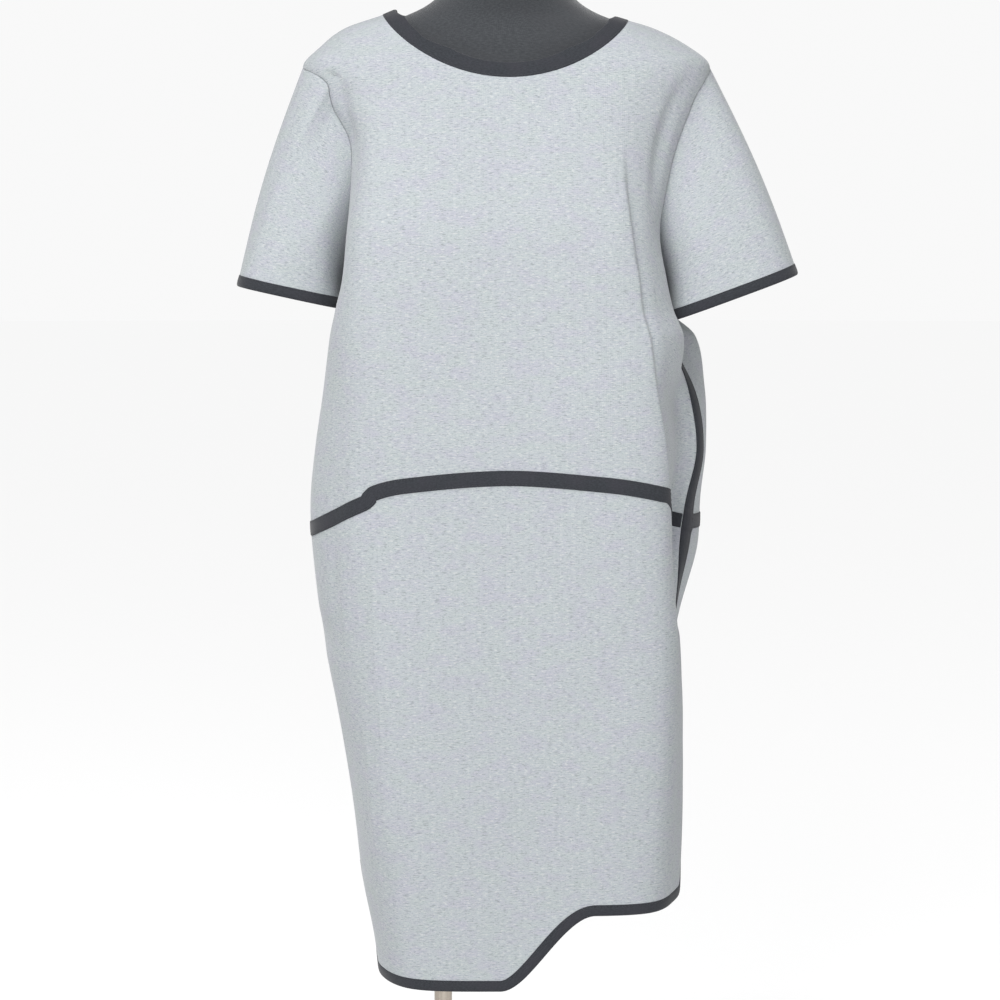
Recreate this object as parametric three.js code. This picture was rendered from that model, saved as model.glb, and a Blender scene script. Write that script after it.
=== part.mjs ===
// A short-sleeved sweatshirt dress on a limbless dress form.
//
// Millimetres, +Z up, the front of the dress faces -Y and the wearer's left is +X.
// The origin is the centre of the round base's underside. The dress is modelled about its own
// centre line, which stands DRESS_X to the side of the pole.
//
// The dress is one surface cut into pieces. A level section of that surface is a closed smooth line
// through ten marks, and "around" counts the marks: 0 right side seam, 1 right edge, 2 right fold,
// 3 front centre, 4 left fold, 5 left edge, 6 left side seam, 7 left back, 8 back centre,
// 9 right back and 10 the right side seam again.
import * as THREE from 'three';

// Driving dimensions
const DRESS_X = 69;
const CLOTH = 2;
const SEAM_GAP = 0.3;
const BINDING_WIDTH = 12;
const NECK_BINDING_WIDTH = 16;
const BINDING_THICKNESS = 3.2;
const TAPE_THICKNESS = 1.2;
const WAIST_TAPE_WIDTH = 15.5;
const SIDE_TAPE_WIDTH = 14;
const SIDE_TAPE_STOP = 18;

const NECK_POINT_RIGHT = 1390;
const NECK_POINT_LEFT = 1384;
const NECK_DROP_FRONT = 66;
const NECK_DROP_BACK = 20;
const SHOULDER_TIP = 1338;
const ARMPIT = 1150;
const ARMHOLE_POINT = 0.6;
const WAIST_LEVEL = 890;
const SLIT_LENGTH = 120;
const SLIT_STEP = 5;
const HEM_CORNER = 34;
const HEM_LOW = 391;
const HEM_RISE = 81;
const HEM_RISE_FROM = -8;
const HEM_RISE_TO = 88;

const POLE_DIAMETER = 19;
const BASE_RADIUS = 180;
const BASE_RIM = 7;
const BASE_CROWN = 12;
const COLLAR_HEIGHT = 55;
const FLANGE_THICKNESS = 6;

// Level sections of the dress, hem to neck. Widths are distances from the centre line, plus to the
// wearer's left; front and back are depths. leftEdgeY and seamY set how far forward the left edge and
// the left side seam lie, where the side hangs in a lapped fold behind the front.
const SECTIONS = table(
  ['z', 'rightSeam', 'rightEdge', 'rightFold', 'front', 'leftFold', 'leftEdge', 'leftEdgeY',
    'leftSeam', 'seamY', 'leftBack', 'back', 'rightBack'],
  [
    [370, -131, -128, -98, 96, 138, 166, -48, 176, 0, 128, 92, -104],
    [430, -140, -134, -105, 98, 143, 170, -49, 179, 0, 134, 94, -110],
    [490, -152, -144, -113, 101, 147, 173, -50, 181, 0, 140, 96, -120],
    [560, -160, -152, -123, 105, 152, 176, -52, 183, 0, 150, 99, -130],
    [640, -170, -163, -126, 110, 156, 178, -55, 182, -5, 158, 102, -140],
    [745, -190, -181, -132, 116, 158, 177, -58, 174, -12, 172, 105, -156],
    [835, -201, -191, -136, 120, 156, 167, -42, 179, -36, 196, 106, -168],
    [890, -203, -194, -137, 122, 153, 170, -24, 188, -18, 199, 105, -172],
    [945, -197, -191, -140, 124, 150, 178, -24, 199, -14, 201, 104, -172],
    [1005, -187, -185, -145, 124, 144, 174, -24, 190, -7, 206, 103, -168],
    [1060, -168, -180, -150, 123, 140, 178, -60, 166, 5, 199, 102, -164],
    [1090, -152, -174, -151, 122, 132, 167, -61, 152, 0, 165, 102, -160],
    [1120, -148, -167, -150, 121, 129, 160, -60, 147, 0, 160, 102, -158],
    [1170, -152, -162, -146, 117, 122, 152, -58, 150, 0, 158, 101, -158],
    [1220, -166, -157, -138, 105, 117, 160, -48, 163, 0, 158, 96, -158],
    [1262, -182, -160, -134, 93, 118, 170, -42, 180, 0, 164, 88, -164],
    [1300, -203, -182, -138, 82, 128, 183, -38, 197, 0, 180, 78, -178],
    [1338, -210, -199, -150, 70, 145, 197, -33, 207, 0, 195, 70, -199],
    [1356, -194, -182, -130, 62, 128, 176, -31, 188, 0, 176, 63, -183],
    [1376, -168, -153, -106, 54, 97, 136, -27, 150, 0, 136, 56, -153],
    [1390, -128, -114, -84, 48, 68, 91, -24, 103, 0, 91, 50, -115],
    [1402, -98, -90, -66, 43, 54, 71, -22, 78, 0, 71, 46, -90],
  ],
);
const EDGE_DEPTH = 0.5;
const FOLD_DEPTH = 0.9;
const BACK_CORNER_DEPTH = 0.62;

// Height of the waist seam at each mark round the body
const WAIST_HEIGHTS = [862, 870, 908, 924, 906, 874, 870, 866, 872, 868];

// The largest creases: where the middle lies, how far it leans around the body on each millimetre
// up, its length and width (in marks), and its rise, which is below zero for a trough
const CREASES = table(
  ['around', 'z', 'lean', 'length', 'width', 'rise'],
  [
    [1.45, 1300, 0.0066, 130, 0.16, -4],
    [4.62, 1262, 0.0004, 170, 0.13, -6],
    [1.75, 880, 0.0004, 260, 0.16, 2.5],
    [4.15, 1040, 0.0008, 300, 0.18, 3],
    [0.8, 756, 0, 60, 0.5, -2.5],
    [5.2, 782, 0, 60, 0.5, -2.5],
    [7.3, 1000, -0.0012, 330, 0.2, 5],
    [9.2, 980, 0.001, 330, 0.22, 5],
    [8.2, 640, 0.0006, 300, 0.25, 4],
  ],
);

// Each sleeve's cuff: its outer and its inner end, and its depths in front and behind
const CUFFS = table(
  ['side', 'outerX', 'outerZ', 'innerX', 'innerZ', 'front', 'back'],
  [
    ['right', -279, 1114, -169, 1090, 64, 46],
    ['left', 299, 1126, 163, 1076, 64, 46],
  ],
);
const CUFF_SQUARENESS = 0.7;

// The armholes' edges, in the front's right and left sides and in the back: how far they spread from
// the side seam, in marks, at shares of their way from the armpit to the shoulder tip
const ARMHOLE = table(
  ['share', 'right', 'left', 'back'],
  [
    [0, 0, 0, 0],
    [0.12, 0.5, 0.5, 0.5],
    [0.3, 0.8, 0.8, 0.8],
    [0.5, 0.95, 0.86, 0.92],
    [0.7, 1.02, 0.8, 0.95],
    [0.78, 1.14, 0.78, 0.93],
    [0.86, 1.26, 0.72, 0.86],
    [0.94, 0.92, 0.5, 0.6],
    [1, 0, 0, 0],
  ],
);
const SLEEVE_FULLNESS = { under: 8, top: 6 };
const ARMHOLE_EASE = 1.2;

// Level sections of the dress form: half width, depths and how far it stands from the dress centre
const FORM = table(
  ['z', 'halfWidth', 'front', 'back', 'x'],
  [
    [742, 128, 82, 80, -26],
    [752, 135, 87, 86, -25],
    [820, 145, 94, 90, -22],
    [880, 140, 92, 88, -18],
    [950, 126, 86, 82, -12],
    [1010, 117, 84, 78, -7],
    [1060, 121, 92, 80, -3],
    [1120, 132, 106, 88, 0],
    [1180, 138, 108, 92, 0],
    [1220, 140, 97, 88, 0],
    [1262, 148, 82, 78, 0],
    [1300, 168, 70, 66, 0],
    [1325, 184, 58, 58, 0],
    [1345, 186, 50, 52, 0],
    [1360, 172, 46, 48, -1],
    [1376, 142, 42, 46, -3],
    [1388, 106, 41, 45, -4],
    [1398, 84, 43, 47, -3],
    [1410, 69, 46, 50, -2],
    [1426, 60, 48, 52, 0],
    [1456, 58, 48, 52, 0],
    [1466, 54, 44, 48, 0],
    [1470, 46, 36, 40, 0],
  ],
);

// Fineness of the mesh
const FRONT_COLUMNS = 28;
const BACK_COLUMNS = 22;
const SEAM_ROWS = 8;
const ARMHOLE_STEPS = 12;
const SHOULDER_ROWS = 4;
const SLIT_ROWS = 3;
const CORNER_STEPS = 4;
const SLEEVE_RINGS = 7;
const FORM_SIDES = 32;
const MARK_WIDTH = 60;
const BEND_FADE = 3;

function table(columns, rows) {
  return rows.map((row) => Object.fromEntries(columns.map((name, i) => [name, row[i]])));
}

const mix = THREE.MathUtils.lerp;
const steps = (count) => Array.from({ length: count + 1 }, (_, i) => i / count);

// Smooth value of one column of a table at a height, or at another key, by cubic pieces through the rows
function columnAt(rows, name, at, key = 'z') {
  const last = rows.length - 1;
  let i = 0;
  while (i < last - 1 && at > rows[i + 1][key]) i += 1;
  const slope = (k) => {
    const a = rows[Math.max(k - 1, 0)];
    const b = rows[Math.min(k + 1, last)];
    return (b[name] - a[name]) / (b[key] - a[key]);
  };
  const [low, high] = [rows[i], rows[i + 1]];
  const span = high[key] - low[key];
  const t = THREE.MathUtils.clamp((at - low[key]) / span, 0, 1);
  const h = t * t * (3 - 2 * t);
  const rise = span * (slope(i) * t * (1 - t) ** 2 - slope(i + 1) * t * t * (1 - t));
  return mix(low[name], high[name], h) + rise;
}

function sectionMarks(z) {
  const at = (name) => columnAt(SECTIONS, name, z);
  const [front, back] = [at('front'), at('back')];
  const marks = [
    [at('rightSeam'), 0],
    [at('rightEdge'), -front * EDGE_DEPTH],
    [at('rightFold'), -front * FOLD_DEPTH],
    [0, -front],
    [at('leftFold'), -front * FOLD_DEPTH],
    [at('leftEdge'), at('leftEdgeY')],
    [at('leftSeam'), at('seamY')],
    [at('leftBack'), back * BACK_CORNER_DEPTH],
    [0, back],
    [at('rightBack'), back * BACK_CORNER_DEPTH],
  ];
  return marks.map(([x, y]) => new THREE.Vector3(x, y, z));
}

const MARKS = 10;
const RIGHT_SEAM = 0;
const LEFT_SEAM = 6;
const sectionCurves = new Map();

// The smooth surface, before its creases
function smoothPoint(around, z) {
  const key = z.toFixed(3);
  if (!sectionCurves.has(key)) {
    sectionCurves.set(key, new THREE.CatmullRomCurve3(sectionMarks(z), true, 'centripetal'));
  }
  return sectionCurves.get(key).getPoint((((around / MARKS) % 1) + 1) % 1);
}

const PROBE = { around: 0.02, z: 2 };

// How a surface runs at a place: its two directions and its outward normal
function frameOf(surface, around, z) {
  const along = surface(around + PROBE.around, z).sub(surface(around - PROBE.around, z));
  const up = surface(around, z + PROBE.z).sub(surface(around, z - PROBE.z));
  const normal = along.clone().cross(up).normalize();
  return { along: along.divideScalar(2 * PROBE.around), up: up.divideScalar(2 * PROBE.z), normal };
}

// Height of the creases over the smooth surface
function creaseRise(around, z) {
  return CREASES.reduce((sum, crease) => {
    const height = (z - crease.z) / (crease.length / 2);
    if (Math.abs(height) >= 1) return sum;
    const middle = crease.around + crease.lean * (z - crease.z);
    const apart = around - middle;
    const across = (apart - MARKS * Math.round(apart / MARKS)) / crease.width;
    return sum + crease.rise * (1 - height * height) ** 2 * Math.exp(-across * across);
  }, 0);
}

function dressPoint(around, z) {
  const point = smoothPoint(around, z);
  const rise = creaseRise(around, z);
  if (Math.abs(rise) < 0.01) return point;
  return point.addScaledVector(frameOf(smoothPoint, around, z).normal, rise);
}

const dressFrame = (around, z) => frameOf(dressPoint, around, z);

const place = (around, z) => ({ around, z });

// The place at a given height where the surface is x from the centre line, between two marks
function placeAtX(x, z, from, to) {
  let [low, high] = [from, to];
  const rising = dressPoint(to, z).x > dressPoint(from, z).x;
  for (let i = 0; i < 24; i += 1) {
    const middle = (low + high) / 2;
    if (dressPoint(middle, z).x < x === rising) low = middle;
    else high = middle;
  }
  return place((low + high) / 2, z);
}

// Height of the waist seam round the body
function waistHeight(around) {
  const i = Math.min(Math.floor(around), MARKS - 1);
  const at = (k) => WAIST_HEIGHTS[(k + MARKS) % MARKS];
  const t = around - i;
  const [a, b, c, d] = [at(i - 1), at(i), at(i + 1), at(i + 2)];
  return b + 0.5 * t * (c - a + t * (2 * a - 5 * b + 4 * c - d + t * (3 * (b - c) + d - a)));
}

// Height of the hem's lower edge at a distance from the centre line
function hemHeight(x) {
  return HEM_LOW + HEM_RISE * THREE.MathUtils.smoothstep(x, HEM_RISE_FROM, HEM_RISE_TO);
}

// A path moved over the surface by a width, to its left-hand side as it is walked
function movedIn(path, width, ring = false) {
  const last = path.length - 1;
  return path.map((here, i) => {
    let before = path[Math.max(i - 1, 0)];
    let after = path[Math.min(i + 1, last)];
    if (ring && i === 0) before = place(path[last].around - MARKS, path[last].z);
    if (ring && i === last) after = place(path[0].around + MARKS, path[0].z);
    const { along, up, normal } = dressFrame(here.around, here.z);
    const run = along.clone().multiplyScalar(after.around - before.around);
    run.addScaledVector(up, after.z - before.z);
    const shift = normal.clone().cross(run).setLength(width);
    const [a, b, c] = [along.dot(along), along.dot(up), up.dot(up)];
    const [p, q] = [shift.dot(along), shift.dot(up)];
    const size = a * c - b * b;
    return place(here.around + (c * p - b * q) / size, here.z + (a * q - b * p) / size);
  });
}

// Shares of the way up at which the rows meet a piece's side edges, the mean of both edges' lengths
function sharesUp(left, right) {
  const [l, r] = [left, right].map((edge) => {
    const run = [0];
    for (let i = 1; i < edge.length; i += 1) {
      const across = (edge[i].around - edge[i - 1].around) * MARK_WIDTH;
      run.push(run[i - 1] + Math.hypot(across, edge[i].z - edge[i - 1].z));
    }
    return run.map((length) => length / run[edge.length - 1]);
  });
  return l.map((share, i) => (share + r[i]) / 2);
}

// Grid of places between four edges, each edge a list of places: rows go up, columns go around. The
// side edges' bends fade towards the middle. The columns beside them lie half a side tape's width in.
function fill(bottom, top, left, right, spacing) {
  const [rows, columns] = [left.length - 1, bottom.length - 1];
  const stretch = spacing[columns].around - spacing[0].around;
  const shares = sharesUp(left, right);
  const bend = (edge, name, i) => edge[i][name] - mix(edge[0][name], edge[rows][name], shares[i]);
  const blend = (name, i, j) => {
    const s = (spacing[j].around - spacing[0].around) / stretch;
    const bends = bend(left, name, i) * (1 - s) ** BEND_FADE + bend(right, name, i) * s ** BEND_FADE;
    return mix(bottom[j][name], top[j][name], shares[i]) + bends;
  };
  const grid = left.map((_, i) => bottom.map((__, j) => place(blend('around', i, j), blend('z', i, j))));
  for (const row of grid) {
    row[1] = towards(row[0], row[1], SIDE_TAPE_WIDTH / 2);
    row[columns - 1] = towards(row[columns], row[columns - 1], SIDE_TAPE_WIDTH / 2);
  }
  return grid;
}

// The place a set distance from one place towards another
function towards(from, to, distance) {
  const apart = dressPoint(from.around, from.z).distanceTo(dressPoint(to.around, to.z));
  const t = distance / apart;
  return place(mix(from.around, to.around, t), mix(from.z, to.z, t));
}

// The grid's points on the dress with their outward normals
function laid(grid) {
  return grid.map((row) => row.map(({ around, z }) => {
    const { normal } = dressFrame(around, z);
    return { point: dressPoint(around, z), normal };
  }));
}

const neckPoint = (seam) => (seam === LEFT_SEAM ? NECK_POINT_LEFT : NECK_POINT_RIGHT);

// The two seam lines, the armhole's edge and the shoulder of one side of a bodice panel
function bodiceSide(seam, inward) {
  const line = (from, to, count) => steps(count).map((t) => place(seam, mix(from, to, t)));
  const column = inward === (seam === LEFT_SEAM ? 1 : -1) ? 'back' : seam === LEFT_SEAM ? 'left' : 'right';
  const armhole = steps(ARMHOLE_STEPS).map((t) => {
    const turn = t * Math.PI;
    const rise = mix((1 - Math.cos(turn)) / 2, t, ARMHOLE_POINT);
    const spread = columnAt(ARMHOLE, column, t, 'share');
    return place(seam + inward * spread, mix(ARMPIT, SHOULDER_TIP, rise));
  });
  return [
    ...line(waistHeight(seam), ARMPIT, SEAM_ROWS),
    ...armhole.slice(1),
    ...line(SHOULDER_TIP, neckPoint(seam), SHOULDER_ROWS).slice(1),
  ];
}
const ARMHOLE_ROW = SEAM_ROWS + 1;

// Neck edge of a bodice panel from one neck point to the other
function neckline(from, to, drop, columns) {
  const [start, end] = [from, to].map((seam) => dressPoint(seam, neckPoint(seam)).x);
  return steps(columns).map((t) => {
    if (t === 0) return place(from, neckPoint(from));
    if (t === 1) return place(to, neckPoint(to));
    const x = mix(start, end, (1 - Math.cos(t * Math.PI)) / 2);
    const middle = (start + end) / 2;
    const spread = (x - middle) / ((end - start) / 2);
    const level = mix(neckPoint(from), neckPoint(to), (1 - Math.cos(t * Math.PI)) / 2);
    return placeAtX(x, level - drop * (1 - spread * spread) ** 0.75, from, to);
  });
}

// Places that part a stretch of the section at one height into equal lengths
function evenly(from, to, count, z) {
  const fine = 200;
  const points = steps(fine).map((t) => dressPoint(mix(from, to, t), z));
  const run = [0];
  for (let i = 1; i <= fine; i += 1) run.push(run[i - 1] + points[i].distanceTo(points[i - 1]));
  return steps(count).map((t) => {
    const length = t * run[fine];
    let i = 0;
    while (i < fine - 1 && run[i + 1] < length) i += 1;
    const part = (length - run[i]) / (run[i + 1] - run[i]);
    return mix(from, to, (i + Math.min(part, 1)) / fine);
  });
}

function waistline(from, to, columns) {
  return evenly(from, to, columns, WAIST_LEVEL).map((around) => place(around, waistHeight(around)));
}

// A row beside the waist seam, under the edge of the waist tape
function besideWaist(row, side) {
  return row.map(({ around }) => place(around, waistHeight(around) + (side * WAIST_TAPE_WIDTH) / 2));
}

function bodice(from, to, drop, columns) {
  const waist = waistline(from, to, columns);
  const neck = neckline(from, to, drop, columns);
  const grid = fill(waist, neck, bodiceSide(from, 1), bodiceSide(to, -1), waist);
  return [grid[0], besideWaist(grid[0], 1), ...grid.slice(1)];
}

// Outer edge of the hem binding: down one slit, round the hem and up the other slit
function hemOutline(from, to, columns) {
  const slitTop = (seam) => hemHeight(dressPoint(seam, HEM_LOW + HEM_CORNER).x) + SLIT_LENGTH;
  const cornerAt = (seam, inward, turn) => {
    const scale = dressFrame(seam, slitTop(seam) - SLIT_LENGTH).along.length();
    const inset = HEM_CORNER * (1 - Math.cos(turn));
    const around = seam + (inward * inset) / scale;
    const level = hemHeight(dressPoint(around, slitTop(seam) - SLIT_LENGTH).x);
    return place(around, level + HEM_CORNER * (1 - Math.sin(turn)));
  };
  const corner = (seam, inward) => steps(CORNER_STEPS).map((t) => cornerAt(seam, inward, (t * Math.PI) / 2));
  const slit = (seam, inward) => {
    const low = cornerAt(seam, inward, 0).z;
    return steps(SLIT_ROWS).map((t) => place(seam, mix(slitTop(seam) - SLIT_STEP, low, t)));
  };
  const [first, last] = [corner(from, 1), corner(to, -1).reverse()];
  const [begin, end] = [first[CORNER_STEPS].around, last[0].around];
  const level = HEM_LOW + HEM_RISE / 2;
  const middle = evenly(begin, end, columns - CORNER_STEPS, level);
  const hem = middle.map((around) => place(around, hemHeight(dressPoint(around, level).x)));
  return {
    path: [...slit(from, 1), ...first.slice(1), ...hem.slice(1), ...last.slice(1),
      ...slit(to, -1).reverse().slice(1)],
    slitTops: [slitTop(from), slitTop(to)],
  };
}

function skirt(from, to, columns) {
  const { path, slitTops } = hemOutline(from, to, columns);
  const inner = movedIn(path, BINDING_WIDTH);
  const cut = [...inner];
  cut[0] = place(inner[0].around, slitTops[0] - SLIT_STEP / 2);
  cut[inner.length - 1] = place(inner[inner.length - 1].around, slitTops[1] - SLIT_STEP / 2);
  const half = CORNER_STEPS / 2;
  const sideCount = SLIT_ROWS + half;
  const seamLine = (seam, top) => steps(SEAM_ROWS).map((t) => place(seam, mix(waistHeight(seam), top, t)));
  const left = [...seamLine(from, slitTops[0]), ...cut.slice(0, sideCount + 1)];
  const right = [...seamLine(to, slitTops[1]), ...cut.slice(-sideCount - 1).reverse()];
  const bottom = cut.slice(sideCount, cut.length - sideCount);
  const waist = waistline(from, to, columns);
  const grid = fill(bottom, waist, left.reverse(), right.reverse(), waist);
  const waistRow = grid.pop();
  return { grid: [...grid, besideWaist(waistRow, -1), waistRow], outline: path, inner };
}

// Neck binding: from the neck edge of both bodices, moved up over the surface
function neckRing(front, back) {
  const edge = [...front[front.length - 1], ...back[back.length - 1].slice(1, -1)];
  return [edge, movedIn(edge, NECK_BINDING_WIDTH, true)];
}

// Closed wall between two offsets of a grid of points. Open edges are drawn in from the seam.
function wall(points, out, into, { ring = false, draw = SEAM_GAP * 0.65 } = {}) {
  const [rows, columns] = [points.length, points[0].length];
  const next = (value, count) => (ring ? (value + 1) % count : value + 1);
  const drawn = points.map((row, i) => row.map((spot, j) => {
    const shift = new THREE.Vector3();
    const drawTo = (other) => shift.add(other.point.clone().sub(spot.point).setLength(draw));
    if (i === 0) drawTo(points[1][j]);
    if (i === rows - 1) drawTo(points[rows - 2][j]);
    if (!ring && j === 0) drawTo(row[1]);
    if (!ring && j === columns - 1) drawTo(row[columns - 2]);
    return { point: spot.point.clone().add(shift), normal: spot.normal };
  }));
  const positions = [];
  for (const offset of [out, into]) {
    for (const row of drawn) {
      for (const { point, normal } of row) {
        positions.push(...point.clone().addScaledVector(normal, offset).toArray());
      }
    }
  }
  const inside = rows * columns;
  const index = [];
  const quad = (a, b, c, d) => index.push(a, b, c, a, c, d);
  const spans = ring ? columns : columns - 1;
  const apart = (i, j, k, l) => points[i][j].point.distanceTo(points[k][l].point);
  for (let i = 0; i < rows - 1; i += 1) {
    for (let j = 0; j < spans; j += 1) {
      const k = next(j, columns);
      const corners = [i * columns + j, i * columns + k, (i + 1) * columns + k, (i + 1) * columns + j];
      if (apart(i, k, i + 1, j) < apart(i, j, i + 1, k)) corners.push(corners.shift());
      const [a, b, c, d] = corners;
      quad(a, b, c, d);
      quad(inside + a, inside + d, inside + c, inside + b);
    }
  }
  for (let j = 0; j < spans; j += 1) {
    const k = next(j, columns);
    const top = (rows - 1) * columns;
    quad(inside + j, inside + k, k, j);
    quad(top + j, top + k, inside + top + k, inside + top + j);
  }
  if (!ring) {
    for (let i = 0; i < rows - 1; i += 1) {
      const [a, b] = [i * columns, (i + 1) * columns];
      const last = columns - 1;
      quad(inside + b, inside + a, a, b);
      quad(a + last, inside + a + last, inside + b + last, b + last);
    }
  }
  return closedGeometry(positions, index);
}

function closedGeometry(positions, index) {
  const geometry = new THREE.BufferGeometry();
  geometry.setAttribute('position', new THREE.Float32BufferAttribute(positions, 3));
  geometry.setIndex(index);
  return geometry;
}

// Folded binding is thicker than the cloth whose edge it holds
function bindingWall(rows, ring = false) {
  return wall(rows, BINDING_THICKNESS / 2, -BINDING_THICKNESS / 2, { ring, draw: SEAM_GAP * 0.8 });
}

// A point part of the way from one spot towards another, a set distance off
function partWay(from, to, distance) {
  const t = distance / from.point.distanceTo(to.point);
  return {
    point: from.point.clone().lerp(to.point, t),
    normal: from.normal.clone().lerp(to.normal, t),
  };
}

// Tape laid on the panels' own points beside a seam
function tapeWall(rows) {
  const low = CLOTH / 2 + SEAM_GAP;
  return wall(rows, low + TAPE_THICKNESS, low, { draw: 0 });
}

// The waist tape's ends stop beside the side tapes, which lie over them
function waistTape(bodicePanel, skirtPanel) {
  const rows = [skirtPanel[skirtPanel.length - 2], bodicePanel[0], bodicePanel[1]];
  return tapeWall(rows.map((row) => {
    const last = row.length - 1;
    const first = partWay(row[1], row[2], SEAM_GAP);
    return [first, ...row.slice(2, -2), partWay(row[last - 1], row[last - 2], SEAM_GAP)];
  }));
}

// A side tape runs from the top of the slit to just under the armhole
function sideTape(frontColumn, backColumn) {
  const inward = frontColumn === 0 ? 1 : -1;
  const seamRows = (bodicePanel, skirtPanel, column) => {
    const lower = skirtPanel.slice(SLIT_ROWS + CORNER_STEPS / 2 + 1, -1);
    const upper = bodicePanel.slice(0, ARMHOLE_ROW + 1);
    return [...lower, ...upper].map((row) => row[column]);
  };
  const seam = seamRows(frontBodice, frontSkirt, frontColumn);
  const front = seamRows(frontBodice, frontSkirt, frontColumn + inward);
  const back = seamRows(backBodice, backSkirt, backColumn - inward);
  const rows = seam.map((spot, i) => (inward > 0 ? [back[i], spot, front[i]] : [front[i], spot, back[i]]));
  const last = rows.length - 1;
  rows[last] = rows[last].map((spot, j) => partWay(spot, rows[last - 1][j], SIDE_TAPE_STOP));
  return tapeWall(rows);
}

// Sleeve: rings run from the armhole to the cuff, each starting under the arm and going by the front
function armholeRing(front, back, column) {
  const rows = steps(ARMHOLE_STEPS).map((_, i) => ARMHOLE_ROW + i);
  const forward = rows.map((row) => front[row][column.front]);
  const behind = rows.map((row) => back[row][column.back]);
  return [...forward, ...behind.reverse().slice(1, -1)];
}

// The cuff's front is squarer than the ellipse of its back
const squared = (value, power) => Math.sign(value) * Math.abs(value) ** power;

function sleeveSurface(cuff, ring) {
  const count = ring.length;
  const out = Math.sign(cuff.outerX);
  const centre = new THREE.Vector3((cuff.outerX + cuff.innerX) / 2, 0, (cuff.outerZ + cuff.innerZ) / 2);
  const reach = new THREE.Vector3(cuff.outerX, 0, cuff.outerZ).sub(centre);
  return (k, t) => {
    const turn = (k / count) * 2 * Math.PI;
    const power = Math.sin(turn) > 0 ? CUFF_SQUARENESS : 1;
    const [over, ahead] = [-Math.cos(turn), Math.sin(turn)].map((value) => squared(value, power));
    const end = centre.clone().addScaledVector(reach, over);
    end.y = -ahead * (ahead > 0 ? cuff.front : cuff.back);
    const swell = Math.sin(Math.PI * t);
    const point = ring[k % count].point.clone().lerp(end, t);
    point.x += out * swell * mix(SLEEVE_FULLNESS.under, SLEEVE_FULLNESS.top, (1 - Math.cos(turn)) / 2);
    point.y -= Math.sin(turn) * swell * SLEEVE_FULLNESS.top;
    return point;
  };
}

function sleeveRings(surface, count, stations, out) {
  return stations.map((stationAt) => Array.from({ length: count }, (_, k) => {
    const t = stationAt(k);
    const point = surface(k, t);
    const round = surface((k + 1) % count, t).sub(surface((k + count - 1) % count, t));
    const down = surface(k, t + 0.01).sub(surface(k, t - 0.01));
    const normal = round.cross(down).multiplyScalar(-out).normalize();
    return { point, normal };
  }));
}

// Where two pieces meet at an angle, both use the direction halfway between their normals
const LEAST_MITRE = 0.3;
function mitre(a, b) {
  const shared = a.normal.clone().add(b.normal).normalize();
  const lean = Math.max(shared.dot(a.normal), LEAST_MITRE);
  shared.divideScalar(lean);
  a.normal.copy(shared);
  b.normal.copy(shared);
}

// Solid loft through rings of points with flat ends
function loft(rings) {
  const sides = rings[0].length;
  const positions = rings.flat().flatMap((point) => point.toArray());
  const index = [];
  for (let i = 0; i < rings.length - 1; i += 1) {
    for (let j = 0; j < sides; j += 1) {
      const k = (j + 1) % sides;
      const [a, b, c, d] = [i * sides + j, i * sides + k, (i + 1) * sides + k, (i + 1) * sides + j];
      index.push(a, b, c, a, c, d);
    }
  }
  const top = (rings.length - 1) * sides;
  for (let j = 1; j < sides - 1; j += 1) {
    index.push(0, j + 1, j);
    index.push(top, top + j, top + j + 1);
  }
  return closedGeometry(positions, index);
}

function formRings() {
  return FORM.map(({ z, halfWidth, front, back, x }) => Array.from({ length: FORM_SIDES }, (_, j) => {
    const turn = (j / FORM_SIDES) * 2 * Math.PI;
    const depth = Math.sin(turn) < 0 ? front : back;
    return new THREE.Vector3(x + halfWidth * Math.cos(turn), depth * Math.sin(turn), z);
  }));
}

// Materials
const jersey = new THREE.MeshStandardMaterial({ color: 0xcbd2d6, roughness: 0.95, metalness: 0 });
const trim = new THREE.MeshStandardMaterial({ color: 0x3f4349, roughness: 0.9, metalness: 0 });
const formCover = new THREE.MeshStandardMaterial({ color: 0x55585d, roughness: 0.92, metalness: 0 });
const steel = new THREE.MeshStandardMaterial({ color: 0x6f675d, roughness: 0.35, metalness: 0.9 });
const lacquer = new THREE.MeshStandardMaterial({ color: 0x2c2c2e, roughness: 0.45, metalness: 0.3 });

function mesh(name, geometry, material) {
  const piece = new THREE.Mesh(geometry, material);
  piece.name = name;
  return piece;
}

const frontTop = bodice(RIGHT_SEAM, LEFT_SEAM, NECK_DROP_FRONT, FRONT_COLUMNS);
const backTop = bodice(LEFT_SEAM, MARKS, NECK_DROP_BACK, BACK_COLUMNS);
const frontSkirtCut = skirt(RIGHT_SEAM, LEFT_SEAM, FRONT_COLUMNS);
const backSkirtCut = skirt(LEFT_SEAM, MARKS, BACK_COLUMNS);
const frontBodice = laid(frontTop);
const backBodice = laid(backTop);
const frontSkirt = laid(frontSkirtCut.grid);
const backSkirt = laid(backSkirtCut.grid);

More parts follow.
